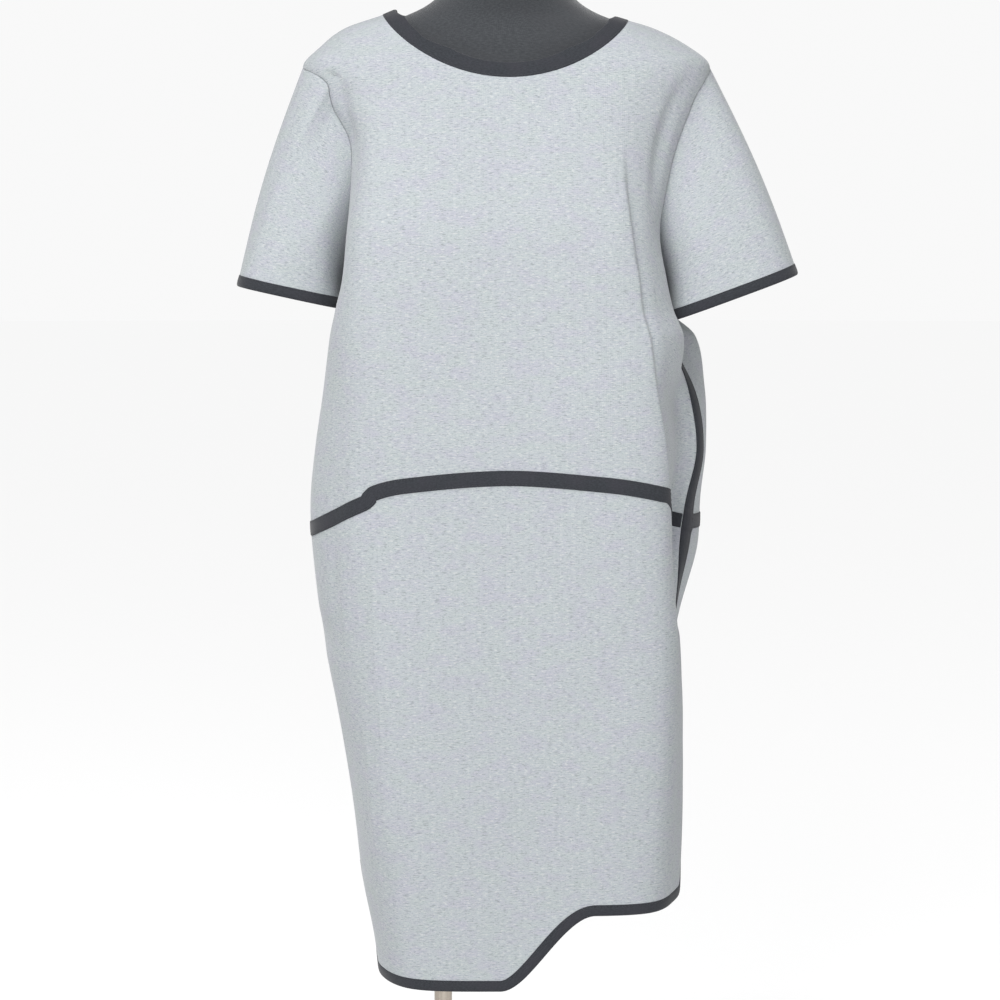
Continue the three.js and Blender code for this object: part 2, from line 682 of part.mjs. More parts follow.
function buildSleeve(cuff) {
  const rightHand = cuff.side === 'right';
  const column = rightHand
    ? { front: 0, back: BACK_COLUMNS }
    : { front: FRONT_COLUMNS, back: 0 };
  const armhole = armholeRing(frontBodice, backBodice, column);
  const start = armhole.map(({ point }) => ({ point: point.clone() }));
  const out = Math.sign(cuff.outerX);
  const surface = sleeveSurface(cuff, start);
  const count = armhole.length;
  const bindingStart = (k) => 1 - BINDING_WIDTH / surface(k, 0).distanceTo(surface(k, 1));
  const stations = steps(SLEEVE_RINGS).map((t) => (k) => t * bindingStart(k));
  const rings = sleeveRings(surface, count, stations, out);
  rings[0].forEach((spot, k) => {
    spot.point.copy(partWay(spot, rings[1][k], ARMHOLE_EASE).point);
    mitre(spot, armhole[k]);
  });
  for (const [own, other] of [[0, 0], [ARMHOLE_STEPS, ARMHOLE_STEPS]]) {
    const row = ARMHOLE_ROW + other;
    backBodice[row][column.back].normal.copy(rings[0][own].normal);
  }
  const bindingStations = [bindingStart, () => 1];
  const binding = sleeveRings(surface, count, bindingStations, out);
  if (rightHand) {
    rings.forEach((ring) => ring.reverse());
    binding.forEach((ring) => ring.reverse());
  }
  const sleeve = wall([...rings].reverse(), CLOTH / 2, -CLOTH / 2, { ring: true });
  const cuffBand = bindingWall([...binding].reverse(), true);
  return [
    mesh(`sleeve_${cuff.side}`, sleeve, jersey),
    mesh(`cuff_binding_${cuff.side}`, cuffBand, trim),
  ];
}

const dress = new THREE.Group();
dress.position.x = DRESS_X;
for (const cuff of CUFFS) dress.add(...buildSleeve(cuff));

const half = CLOTH / 2;
dress.add(mesh('front_bodice', wall(frontBodice, half, -half), jersey));
dress.add(mesh('back_bodice', wall(backBodice, half, -half), jersey));
dress.add(mesh('front_skirt', wall(frontSkirt, half, -half), jersey));
dress.add(mesh('back_skirt', wall(backSkirt, half, -half), jersey));

const hemRows = ({ outline, inner }) => laid([outline, inner]);
dress.add(mesh('neck_binding', bindingWall(laid(neckRing(frontTop, backTop)), true), trim));
dress.add(mesh('hem_binding_front', bindingWall(hemRows(frontSkirtCut)), trim));
dress.add(mesh('hem_binding_back', bindingWall(hemRows(backSkirtCut)), trim));
dress.add(mesh('waist_tape_front', waistTape(frontBodice, frontSkirt), trim));
dress.add(mesh('waist_tape_back', waistTape(backBodice, backSkirt), trim));
dress.add(mesh('side_tape_right', sideTape(0, BACK_COLUMNS), trim));
dress.add(mesh('side_tape_left', sideTape(FRONT_COLUMNS, 0), trim));

dress.add(mesh('form_body', loft(formRings()), formCover));

// The stand, turned about the pole's axis: each profile runs from its underside to its top
function turned(profile, segments) {
  const points = profile.map(([radius, z]) => new THREE.Vector2(radius, z));
  return new THREE.LatheGeometry(points, segments).rotateX(Math.PI / 2);
}

function ringProfile(inner, outer, low, high) {
  return [[inner, low], [outer, low], [outer, high], [inner, high], [inner, low]];
}

const FORM_UNDERSIDE = FORM[0].z;
const poleRadius = POLE_DIAMETER / 2;
const poleTop = FORM_UNDERSIDE - SEAM_GAP;
const poleFoot = BASE_CROWN + SEAM_GAP;
const base = turned([
  [0, 0], [BASE_RADIUS - 2, 0], [BASE_RADIUS, 2], [BASE_RADIUS, BASE_RIM - 2], [BASE_RADIUS - 2, BASE_RIM],
  [40, BASE_CROWN], [0, BASE_CROWN],
], 48);
const pole = turned([[0, poleFoot], [poleRadius, poleFoot], [poleRadius, poleTop], [0, poleTop]], 20);
const sleeveBore = poleRadius + SEAM_GAP;
const collar = turned(ringProfile(sleeveBore, 17, poleFoot, poleFoot + COLLAR_HEIGHT), 20);
const flange = turned(ringProfile(sleeveBore, 34, poleTop - FLANGE_THICKNESS, poleTop), 20);

const part = new THREE.Group();
part.add(dress);
part.add(mesh('base_plate', base, lacquer));
part.add(mesh('pole', pole, steel));
part.add(mesh('pole_collar', collar, lacquer));
part.add(mesh('form_flange', flange, lacquer));
export default part;
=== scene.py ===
import math

import bpy
import numpy as np
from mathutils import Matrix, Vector


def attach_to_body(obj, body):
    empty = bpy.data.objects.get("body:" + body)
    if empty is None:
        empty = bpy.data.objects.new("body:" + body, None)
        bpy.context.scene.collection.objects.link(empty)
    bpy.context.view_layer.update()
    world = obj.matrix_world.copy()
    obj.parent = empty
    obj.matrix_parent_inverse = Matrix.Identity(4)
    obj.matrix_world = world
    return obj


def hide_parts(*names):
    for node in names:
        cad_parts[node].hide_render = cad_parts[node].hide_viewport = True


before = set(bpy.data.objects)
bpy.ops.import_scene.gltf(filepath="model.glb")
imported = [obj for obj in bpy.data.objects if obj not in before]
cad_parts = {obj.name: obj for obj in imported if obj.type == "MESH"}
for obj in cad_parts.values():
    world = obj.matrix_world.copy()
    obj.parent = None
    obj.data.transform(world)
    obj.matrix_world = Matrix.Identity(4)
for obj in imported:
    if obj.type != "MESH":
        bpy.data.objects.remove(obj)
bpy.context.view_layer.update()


# The studio: a wide pale floor that runs into a pale background, one broad soft light from high on
# the left, weaker panels near the camera, and the camera a step back at chest height.
CAMERA_PLACE = (0.061, -2.3, 1.12)
CAMERA_TILT_DEG = 5.71
CAMERA_LENS_MM = 79.2
FLOOR_RADIUS, FLOOR_LEVEL, FLOOR_SIDES = 60.0, -0.0005, 96
FLOOR_WHITE = 0.88
SKY_LEVEL, SKY_SEEN = 0.3, 0.945  # the background's light on things, and its brightness to the camera
SUN_FROM = (-0.42, -0.6, 1.5)
SUN_STRENGTH, SUN_SPREAD_DEG = 2.65, 30
AIM = (0.069, 0.0, 1.0)
PANELS = {  # place, width of the panel, power in watts
    "top_light": ((-0.7, -1.9, 2.2), 1.1, 26),
    "fill_light": ((1.7, -1.9, 1.3), 1.2, 10),
    "front_light": ((0.05, -2.7, 1.7), 1.3, 26),
}


def add_object(name, data):
    made = bpy.data.objects.new(name, data)
    bpy.context.scene.collection.objects.link(made)
    return made


def node(tree, kind, inputs=None, **settings):
    """Adds a node. Its inputs are given values, or the sockets that feed them."""
    made = tree.nodes.new(kind)
    for name, value in settings.items():
        setattr(made, name, value)
    for name, value in (inputs or {}).items():
        if isinstance(value, bpy.types.NodeSocket):
            tree.links.new(value, made.inputs[name])
        else:
            made.inputs[name].default_value = value
    return made


def new_material(name):
    material = bpy.data.materials.new(name)
    material.use_nodes = True
    return material, material.node_tree, material.node_tree.nodes["Principled BSDF"]


def feed(tree, shader, **inputs):
    """Sets or links the shader's inputs, named with underscores for spaces."""
    for name, value in inputs.items():
        socket = shader.inputs[name.replace("_", " ").title().replace("Ior", "IOR")]
        if isinstance(value, bpy.types.NodeSocket):
            tree.links.new(value, socket)
        else:
            socket.default_value = value


camera = add_object("camera", bpy.data.cameras.new("camera"))
camera.data.sensor_width = 36
camera.data.lens = CAMERA_LENS_MM
camera.location = CAMERA_PLACE
camera.rotation_euler = (math.radians(90 - CAMERA_TILT_DEG), 0, 0)
bpy.context.scene.camera = camera
bpy.context.scene.view_settings.view_transform = "Standard"


def aimed(from_place):
    return (Vector(AIM) - Vector(from_place)).to_track_quat("-Z", "Y").to_euler()


for light_name, (light_place, light_width, light_power) in PANELS.items():
    light = add_object(light_name, bpy.data.lights.new(light_name, "AREA"))
    light.data.size = light_width
    light.data.energy = light_power
    light.location = light_place
    light.rotation_euler = aimed(light_place)
sun = add_object("broad_light", bpy.data.lights.new("broad_light", "SUN"))
sun.data.energy = SUN_STRENGTH
sun.data.angle = math.radians(SUN_SPREAD_DEG)
sun.rotation_euler = Vector(SUN_FROM).to_track_quat("Z", "Y").to_euler()

world = bpy.data.worlds.new("studio")
world.use_nodes = True
bpy.context.scene.world = world
sky = world.node_tree.nodes["Background"]
seen = node(world.node_tree, "ShaderNodeLightPath").outputs["Is Camera Ray"]
sky_level = node(world.node_tree, "ShaderNodeMapRange",
                 {"Value": seen, "To Min": SKY_LEVEL, "To Max": SKY_SEEN})
world.node_tree.links.new(sky_level.outputs["Result"], sky.inputs["Strength"])
sky.inputs["Color"].default_value = (1, 1, 1, 1)


def full_turn(steps):
    return np.linspace(0, 2 * math.pi, steps, endpoint=False)


floor_rim = [(FLOOR_RADIUS * math.cos(a), FLOOR_RADIUS * math.sin(a), FLOOR_LEVEL)
             for a in full_turn(FLOOR_SIDES)]
floor_mesh = bpy.data.meshes.new("floor")
floor_mesh.from_pydata(floor_rim, [], [range(len(floor_rim))])
floor = add_object("floor", floor_mesh)
floor_paint, floor_tree, floor_shader = new_material("floor_paint")
feed(floor_tree, floor_shader, base_color=(FLOOR_WHITE, FLOOR_WHITE, FLOOR_WHITE, 1), roughness=1.0,
     specular_ior_level=0.0)
floor_mesh.materials.append(floor_paint)


# The stand: a spun steel base plate with a rounded rim, a collar that holds the pole on it, and a
# flange under the form, all in satin black lacquer. The pole is a satin bronze-grey metal tube.
MM = 0.001
ROUND_SEGMENTS = 96
POLE_RADIUS = 9.5
FORM_UNDERSIDE = 742.0
BASE_PROFILE = [(0, 0), (177.6, 0), (179.3, 0.7), (180, 2.4), (180, 4.6), (179.2, 6.3), (177.2, 7.1),
                (150, 8.2), (120, 9.5), (80, 11.0), (40, 12.0), (0, 12.1)]
COLLAR_PROFILE = [(9.7, 12.3), (16.2, 12.3), (16.8, 12.6), (17, 13.2), (17, 62.5), (16.7, 65.4),
                  (15.8, 66.8), (14.4, 67.3), (9.7, 67.3)]
FLANGE_PROFILE = [(9.7, 735.9), (32.6, 735.9), (33.6, 736.3), (34, 737.2), (34, 741.3), (9.7, 741.7)]
POLE_PROFILE = [(0, 12.3), (POLE_RADIUS, 12.3), (POLE_RADIUS, 240), (POLE_RADIUS, 500),
                (POLE_RADIUS, 741.7), (0, 741.7)]


def finish_mesh(name, vertices, faces, material, sharp_deg=40, loop_uvs=None):
    """A smooth-shaded mesh from points in millimetres, with edges over sharp_deg kept crisp."""
    mesh = bpy.data.meshes.new(name)
    mesh.from_pydata((np.asarray(vertices) * MM).tolist(), [], faces)
    mesh.shade_smooth()
    mesh.set_sharp_from_angle(angle=math.radians(sharp_deg))
    if loop_uvs is not None:
        layer = mesh.uv_layers.new(name="cloth")
        layer.data.foreach_set("uv", np.asarray(loop_uvs, np.float32).ravel())
    mesh.materials.append(material)
    mesh.validate()
    return add_object(name, mesh)


def turned(name, profile, material):
    """A piece turned about the pole: the profile runs from its underside, outward, to its top."""
    vertices, rings = [], []
    for radius, z in profile:
        if radius == 0:
            rings.append([len(vertices)] * ROUND_SEGMENTS)
            vertices.append((0, 0, z))
        else:
            rings.append(list(range(len(vertices), len(vertices) + ROUND_SEGMENTS)))
            vertices += [(radius * math.cos(a), radius * math.sin(a), z) for a in full_turn(ROUND_SEGMENTS)]
    closed = profile[0][0] > 0
    pairs = list(zip(rings, rings[1:])) + ([(rings[-1], rings[0])] if closed else [])
    faces = []
    for low, high in pairs:
        for i in range(ROUND_SEGMENTS):
            k = (i + 1) % ROUND_SEGMENTS
            corners = [low[i], low[k], high[k], high[i]]
            faces.append(list(dict.fromkeys(corners)))
    return finish_mesh(name, vertices, faces, material)


def noise(tree, vector, scale, detail=2.0, roughness=0.5, place=0.0, flat=False):
    """Noise over a vector, with its own number of spots to the metre along each axis."""
    spread = node(tree, "ShaderNodeMapping",
                  {"Vector": vector, "Scale": scale, "Location": (place, place, place)})
    inputs = {"Vector": spread.outputs[0], "Scale": 1.0, "Detail": detail, "Roughness": roughness}
    return node(tree, "ShaderNodeTexNoise", inputs, noise_dimensions="2D" if flat else "3D").outputs[0]


def remap(tree, value, low, high, to_low=0.0, to_high=1.0):
    return node(tree, "ShaderNodeMapRange", {"Value": value, "From Min": low, "From Max": high,
                                             "To Min": to_low, "To Max": to_high},
                interpolation_type="SMOOTHSTEP").outputs["Result"]


def tint(tree, factor, a, b):
    """Mixes two colours; each is a colour or a socket. Inputs 6 and 7 are the node's colours."""
    return node(tree, "ShaderNodeMix", {0: factor, 6: a, 7: b}, data_type="RGBA").outputs[2]


def maths(tree, operation, a, b):
    return node(tree, "ShaderNodeMath", {0: a, 1: b}, operation=operation).outputs[0]


def bump(tree, height, depth_mm, strength=1.0, under=None):
    inputs = {"Height": height, "Distance": depth_mm * MM, "Strength": strength}
    if under is not None:
        inputs["Normal"] = under
    return node(tree, "ShaderNodeBump", inputs).outputs["Normal"]


def lacquer_finish():
    material, tree, shader = new_material("satin_black_lacquer")
    here = node(tree, "ShaderNodeTexCoord").outputs["Object"]
    worn = remap(tree, node(tree, "ShaderNodeNewGeometry").outputs["Pointiness"], 0.52, 0.6)
    scuffs = remap(tree, noise(tree, here, (240, 240, 240), 5, 0.7), 0.5, 0.7)
    dust = remap(tree, noise(tree, here, (18, 18, 18), 4, 0.6), 0.4, 0.75)
    colour = tint(tree, dust, (0.018, 0.018, 0.019, 1), (0.022, 0.0215, 0.0215, 1))
    colour = tint(tree, maths(tree, "MULTIPLY", worn, scuffs), colour, (0.12, 0.115, 0.11, 1))
    peel = bump(tree, noise(tree, here, (1400, 1400, 1400), 1), 0.02, 0.4)
    feed(tree, shader, base_color=colour, roughness=remap(tree, dust, 0, 1, 0.36, 0.40), normal=peel,
         coat_weight=0.25, coat_roughness=0.3)
    return material


def pole_finish():
    material, tree, shader = new_material("satin_bronze_grey_metal")
    here = node(tree, "ShaderNodeTexCoord").outputs["Object"]
    streaks = noise(tree, here, (900, 900, 14), 3, 0.65)
    cloud = noise(tree, here, (30, 30, 9), 3, 0.6)
    colour = tint(tree, remap(tree, cloud, 0.35, 0.7), (0.36, 0.315, 0.265, 1), (0.43, 0.385, 0.335, 1))
    colour = tint(tree, remap(tree, streaks, 0.35, 0.8, 0, 0.35), colour, (0.2, 0.18, 0.16, 1))
    feed(tree, shader, base_color=colour, metallic=1.0, roughness=remap(tree, streaks, 0.3, 0.7, 0.26, 0.4),
         normal=bump(tree, streaks, 0.02, 0.35))
    return material


def attach(piece, cad_node):
    """Fixes a piece to the part's one body, where it stands for a CAD node."""
    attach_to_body(piece, "root")
    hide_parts(cad_node)


lacquer = lacquer_finish()
for stand_name, stand_node, stand_profile in (
    ("stand_base", "base_plate", BASE_PROFILE),
    ("stand_collar", "pole_collar", COLLAR_PROFILE),
    ("stand_flange", "form_flange", FLANGE_PROFILE),
):
    attach(turned(stand_name, stand_profile, lacquer), stand_node)
attach(turned("stand_pole", POLE_PROFILE, pole_finish()), "pole")


# The dress form: a padded limbless torso on the pole, under a close cover of dark grey stretch
# jersey. Each row is a level section: its height, half width, depths in front and behind, and how
# far it stands from the dress's centre line.
DRESS_X = 69.0
FORM_SECTIONS = np.array([
    (742, 128, 82, 80, -26), (752, 135, 87, 86, -25), (820, 145, 94, 90, -22), (880, 140, 92, 88, -18),
    (950, 126, 86, 82, -12), (1010, 117, 84, 78, -7), (1060, 121, 92, 80, -3), (1120, 132, 106, 88, 0),
    (1180, 138, 108, 92, 0), (1220, 140, 97, 88, 0), (1262, 148, 82, 78, 0), (1300, 168, 70, 66, 0),
    (1325, 184, 58, 58, 0), (1345, 186, 50, 52, 0), (1360, 172, 46, 48, -1), (1376, 142, 42, 46, -3),
    (1388, 106, 41, 45, -4), (1398, 84, 43, 47, -3), (1410, 69, 46, 50, -2), (1426, 60, 48, 52, 0),
    (1456, 58, 48, 52, 0), (1466, 54, 44, 48, 0), (1470, 46, 36, 40, 0),
], float)
FORM_RING, FORM_LEVEL_STEP, FORM_RIM_LEVELS = 144, 4.0, 9
FORM_NECK_RIM, FORM_TOP = 1462, 1470  # the neck rounds over from its rim to its top
FORM_ROUND_LENGTH = 0.82  # metres of jersey round the body, on which its knit is laid out


def columns_at(rows, z):
    """Smooth values of a table's columns at heights z, by cubic pieces through its rows."""
    rows = np.asarray(rows, float)
    last = len(rows) - 1
    index = np.arange(last + 1)
    before, after = rows[np.maximum(index - 1, 0)], rows[np.minimum(index + 1, last)]
    slopes = (after - before) / (after[:, :1] - before[:, :1])
    i = np.clip(np.searchsorted(rows[1:, 0], z, side="left"), 0, last - 1)
    span = (rows[i + 1, 0] - rows[i, 0])[..., None]
    t = np.clip((np.asarray(z)[..., None] - rows[i, :1]) / span, 0, 1)
    rise = span * (slopes[i] * t * (1 - t) ** 2 - slopes[i + 1] * t * t * (1 - t))
    return rows[i] + (rows[i + 1] - rows[i]) * t * t * (3 - 2 * t) + rise


def wales(tree, cloth, rows, unevenness, detail=1.0, detail_scale=1.0):
    """The knit's upright ribs. Rows is how many of them lie in about 0.3 m."""
    inputs = {"Vector": cloth, "Scale": rows, "Distortion": unevenness, "Detail": detail,
              "Detail Scale": detail_scale}
    return node(tree, "ShaderNodeTexWave", inputs, bands_direction="X").outputs[0]


def dark_knit(name, ground, flecks, fleck_spots, clouds, cloud_spots, cloud_share, rib_rows, unevenness,
              fleck_place=0.0, cloud_place=0.0, **shine):
    """A dark heathered knit: fine flecks on its ground, faint clouds over them, and low ribs."""
    material, tree, shader = new_material(name)
    cloth = node(tree, "ShaderNodeUVMap", uv_map="cloth").outputs["UV"]
    heather = noise(tree, cloth, (*fleck_spots, 1), 3, 0.7, fleck_place, flat=True)
    cloud = noise(tree, cloth, (*cloud_spots, 1), 3, 0.6, cloud_place, flat=True)
    colour = tint(tree, remap(tree, heather, 0.3, 0.75), (*ground, 1), (*flecks, 1))
    colour = tint(tree, remap(tree, cloud, 0.35, 0.7, 0, cloud_share), colour, (*clouds, 1))
    height = maths(tree, "ADD", wales(tree, cloth, rib_rows, unevenness), heather)
    feed(tree, shader, base_color=colour, normal=bump(tree, height, 0.12, 0.5), **shine)
    return material


def form_cover():
    levels = np.concatenate([np.arange(FORM_UNDERSIDE, FORM_NECK_RIM, FORM_LEVEL_STEP),
                             np.linspace(FORM_NECK_RIM, FORM_TOP, FORM_RIM_LEVELS)])
    turn = full_turn(FORM_RING)
    _, half_width, front, back, shift = columns_at(FORM_SECTIONS, levels).T[..., None]
    depth = np.where(np.sin(turn) < 0, front, back)
    across = DRESS_X + shift + half_width * np.cos(turn)
    ring = np.stack(np.broadcast_arrays(across, depth * np.sin(turn), levels[:, None]), -1)
    rows = len(levels)
    vertices = np.concatenate([ring.reshape(-1, 3), [ring[0].mean(0), ring[-1].mean(0)]])
    faces, uvs = [], []
    round_length = np.linspace(0, FORM_ROUND_LENGTH, FORM_RING + 1)
    for i in range(rows - 1):
        for j in range(FORM_RING):
            k = (j + 1) % FORM_RING
            a, b = i * FORM_RING, (i + 1) * FORM_RING
            faces.append([a + j, a + k, b + k, b + j])
            low, high = levels[i] * MM, levels[i + 1] * MM
            uvs += [(round_length[j], low), (round_length[j + 1], low),
                    (round_length[j + 1], high), (round_length[j], high)]
    top = (rows - 1) * FORM_RING
    for j in range(FORM_RING):
        k = (j + 1) % FORM_RING
        for centre, corners in ((rows * FORM_RING, [k, j]), (rows * FORM_RING + 1, [top + j, top + k])):
            faces.append([centre, *corners])
            uvs += [tuple(vertices[v][:2] * MM) for v in faces[-1]]
    return finish_mesh("form_cover", vertices, faces, form_jersey, 60, uvs)


form_jersey = dark_knit(
    "dark_stretch_jersey", ground=(0.027, 0.0295, 0.0335), flecks=(0.042, 0.0455, 0.050),
    fleck_spots=(260, 700), clouds=(0.036, 0.036, 0.0405), cloud_spots=(14, 14), cloud_share=0.35,
    rib_rows=190.0, unevenness=0.6, roughness=0.92, specular_ior_level=0.25, sheen_weight=0.3,
    sheen_roughness=0.5)
attach(form_cover(), "form_body")


# The dress's bodice front, cut in one piece from thick melange double-knit jersey and seamed to the
# back at the shoulders and sides. A level section of the dress is a closed smooth line through ten
# marks, and "around" counts them: 0 right side seam, 3 front centre, 6 left side seam, 8 back centre.
CLOTH = 2.0  # thickness of the jersey
MARKS = 10
SECTIONS = np.array([
    # height, then each mark's place beside the centre line, or its depth on the line itself: right seam,
    # right edge, right fold, front, left fold, left edge and its depth, left seam and its depth, left
    # back, back, right back
    (370, -131, -128, -98, 96, 138, 166, -48, 176, 0, 128, 92, -104),
    (430, -140, -134, -105, 98, 143, 170, -49, 179, 0, 134, 94, -110),
    (490, -152, -144, -113, 101, 147, 173, -50, 181, 0, 140, 96, -120),
    (560, -160, -152, -123, 105, 152, 176, -52, 183, 0, 150, 99, -130),
    (640, -170, -163, -126, 110, 156, 178, -55, 182, -5, 158, 102, -140),
    (745, -190, -181, -132, 116, 158, 177, -58, 174, -12, 172, 105, -156),
    (835, -201, -191, -136, 120, 156, 167, -42, 179, -36, 196, 106, -168),
    (890, -203, -194, -137, 122, 153, 170, -24, 188, -18, 199, 105, -172),
    (945, -197, -191, -140, 124, 150, 178, -24, 199, -14, 201, 104, -172),
    (1005, -187, -185, -145, 124, 144, 174, -24, 190, -7, 206, 103, -168),
    (1060, -168, -180, -150, 123, 140, 178, -60, 166, 5, 199, 102, -164),
    (1090, -152, -174, -151, 122, 132, 167, -61, 152, 0, 165, 102, -160),
    (1120, -148, -167, -150, 121, 129, 160, -60, 147, 0, 160, 102, -158),
    (1170, -152, -162, -146, 117, 122, 152, -58, 150, 0, 158, 101, -158),
    (1220, -166, -157, -138, 105, 117, 160, -48, 163, 0, 158, 96, -158),
    (1262, -182, -160, -134, 93, 118, 170, -42, 180, 0, 164, 88, -164),
    (1300, -203, -182, -138, 82, 128, 183, -38, 197, 0, 180, 78, -178),
    (1338, -210, -199, -150, 70, 145, 197, -33, 207, 0, 195, 70, -199),
    (1356, -194, -182, -130, 62, 128, 176, -31, 188, 0, 176, 63, -183),
    (1376, -168, -153, -106, 54, 97, 136, -27, 150, 0, 136, 56, -153),
    (1390, -128, -114, -84, 48, 68, 91, -24, 103, 0, 91, 50, -115),
    (1402, -98, -90, -66, 43, 54, 71, -22, 78, 0, 71, 46, -90),
], float)
EDGE_DEPTH, FOLD_DEPTH = 0.5, 0.9  # shares of the front's depth at the right edge and at both folds
BACK_CORNER_DEPTH = 0.62  # share of the back's depth at the marks beside its centre
CREASES = [  # around, z, lean around for each millimetre up, length, width in marks, rise
    (1.45, 1300, 0.0066, 130, 0.16, -4),
    (4.62, 1262, 0.0004, 170, 0.13, -6),
    (1.75, 880, 0.0004, 260, 0.16, 2.5),
    (4.15, 1040, 0.0008, 300, 0.18, 3),
    (0.8, 756, 0, 60, 0.5, -2.5),
    (5.2, 782, 0, 60, 0.5, -2.5),
    (7.3, 1000, -0.0012, 330, 0.2, 5),
    (9.2, 980, 0.001, 330, 0.22, 5),
    (8.2, 640, 0.0006, 300, 0.25, 4),
]
FINE_CREASES = [  # the same columns: finer troughs and ridges, no two alike
    (1.99, 745, 0.00005, 380, 0.06, 1.4), (3.3, 1235, 0.003, 110, 0.13, 0.7),
    (1.5, 810, 0.0010, 190, 0.1, 1.5), (1.36, 800, 0.0012, 210, 0.12, -1.2),
    (1.62, 600, 0.0003, 200, 0.09, 1.3), (1.5, 590, 0.0004, 160, 0.1, -0.9),
    (2.3, 1225, -0.003, 120, 0.14, -0.9), (3.6, 1165, 0.0035, 150, 0.16, -0.8),
    (2.7, 1020, 0.0020, 160, 0.2, -0.9), (3.35, 970, -0.0016, 120, 0.16, 0.8),
    (2.4, 760, -0.0022, 170, 0.16, 0.9), (3.55, 700, 0.0018, 190, 0.18, -0.9),
    (2.95, 600, 0.0012, 150, 0.18, 0.8), (3.8, 560, -0.0014, 130, 0.14, -0.9),
    (1.25, 1130, 0.0012, 120, 0.1, -1.2), (5.3, 960, -0.001, 120, 0.12, -1.2),
    (5.45, 700, 0.0012, 150, 0.14, 1.2), (0.55, 1010, -0.001, 140, 0.16, -1.2),
    (0.6, 640, 0.001, 150, 0.16, 1.1), (7.1, 1240, 0.002, 120, 0.14, -1.2),
    (8.7, 1235, -0.0024, 130, 0.15, -1.1), (7.9, 1080, 0.0018, 150, 0.18, 1.1),
    (8.4, 960, -0.001, 130, 0.14, -1.1), (7.4, 820, 0.0016, 150, 0.15, -1.2),
    (9.0, 780, -0.0012, 160, 0.16, 1.2), (8.1, 700, 0.0008, 150, 0.12, -1.0),
    (7.0, 600, 0.001, 150, 0.14, 1.1), (9.2, 560, -0.001, 130, 0.16, -1.0),
]
FOLD_LINE = np.array([  # height and around of the edge of the fold lapped at the wearer's left
    (702, 4.6), (755, 4.474), (840, 4.32), (871, 4.25), (913, 4.158), (953, 4.093), (996, 4.03),
    (1040, 3.985), (1116, 3.977), (1216, 3.96), (1262, 3.94),
], float)
FOLD_RISE, FOLD_DROP = 2.0, 4.2
FOLD_BEFORE, FOLD_EDGE, FOLD_AFTER = 14.0, 3.0, 24.0  # widths of its rise, its edge and the trough behind
FOLD_FADE = 80.0  # height over which the fold dies away at each end
FOLD_COLUMNS_FROM, FOLD_COLUMNS_TO, FOLD_COLUMN_PARTS = 3.7, 4.75, 4  # where columns are parted in four
PROBE_AROUND, PROBE_UP = 0.01, 1.0
MARK_WIDTH = 60.0  # about how far apart two marks are, in millimetres
BEND_FADE = 3  # how soon an edge's bends die away across a panel
NECK_POINTS = {0.0: 1390.0, 6.0: 1384.0, 10.0: 1390.0}  # heights at the side seams' marks
NECK_DROP_FRONT, NECK_DROP_BACK = 66.0, 20.0
NECK_ROUNDNESS = 0.75
SHOULDER_TIP, ARMPIT = 1338.0, 1150.0
ARMHOLE_POINT = 0.6  # 0 rounds the armhole at its armpit and tip, and 1 makes both pointed
ARMHOLE = np.array([  # share of the way up, and spreads at the front's right, its left and the back
    (0, 0, 0, 0), (0.12, 0.5, 0.5, 0.5), (0.3, 0.8, 0.8, 0.8), (0.5, 0.95, 0.86, 0.92),
    (0.7, 1.02, 0.8, 0.95), (0.78, 1.14, 0.78, 0.93), (0.86, 1.26, 0.72, 0.86), (0.94, 0.92, 0.5, 0.6),
    (1, 0, 0, 0),
], float)
WAIST_LEVEL = 890.0
WAIST_LINE = np.array([  # around and height of the waist seam
    (0, 862), (1, 870), (1.93, 898), (2.02, 907), (2.3, 916), (3, 924), (3.6, 917), (4, 907), (4.15, 903),
    (4.25, 893), (4.36, 879), (5, 874), (6, 870), (7, 866), (8, 872), (9, 868),
], float)
RIGHT_SEAM, LEFT_SEAM = 0.0, 6.0
SEAM_ROLL = [(0.0, 1.1), (0.7, 0.45), (1.5, 0.12), (2.6, 0.0)]  # distance from a seam, and sink at it
BINDING_WIDTH = 12.0
UNDER_BINDING = 7.0  # how far the cloth reaches into a binding


def section_marks(z):
    """The ten marks of the level sections at heights z, in millimetres."""
    _, r_seam, r_edge, r_fold, front, l_fold, l_edge, edge_y, l_seam, seam_y, l_back, back, r_back = (
        columns_at(SECTIONS, z).T)
    zero = np.zeros_like(front)
    x = [r_seam, r_edge, r_fold, zero, l_fold, l_edge, l_seam, l_back, zero, r_back]
    fold_y, corner_y = -front * FOLD_DEPTH, back * BACK_CORNER_DEPTH
    y = [zero, -front * EDGE_DEPTH, fold_y, -front, fold_y, edge_y, seam_y, corner_y, back, corner_y]
    return np.stack([np.array(x).T, np.array(y).T], -1)


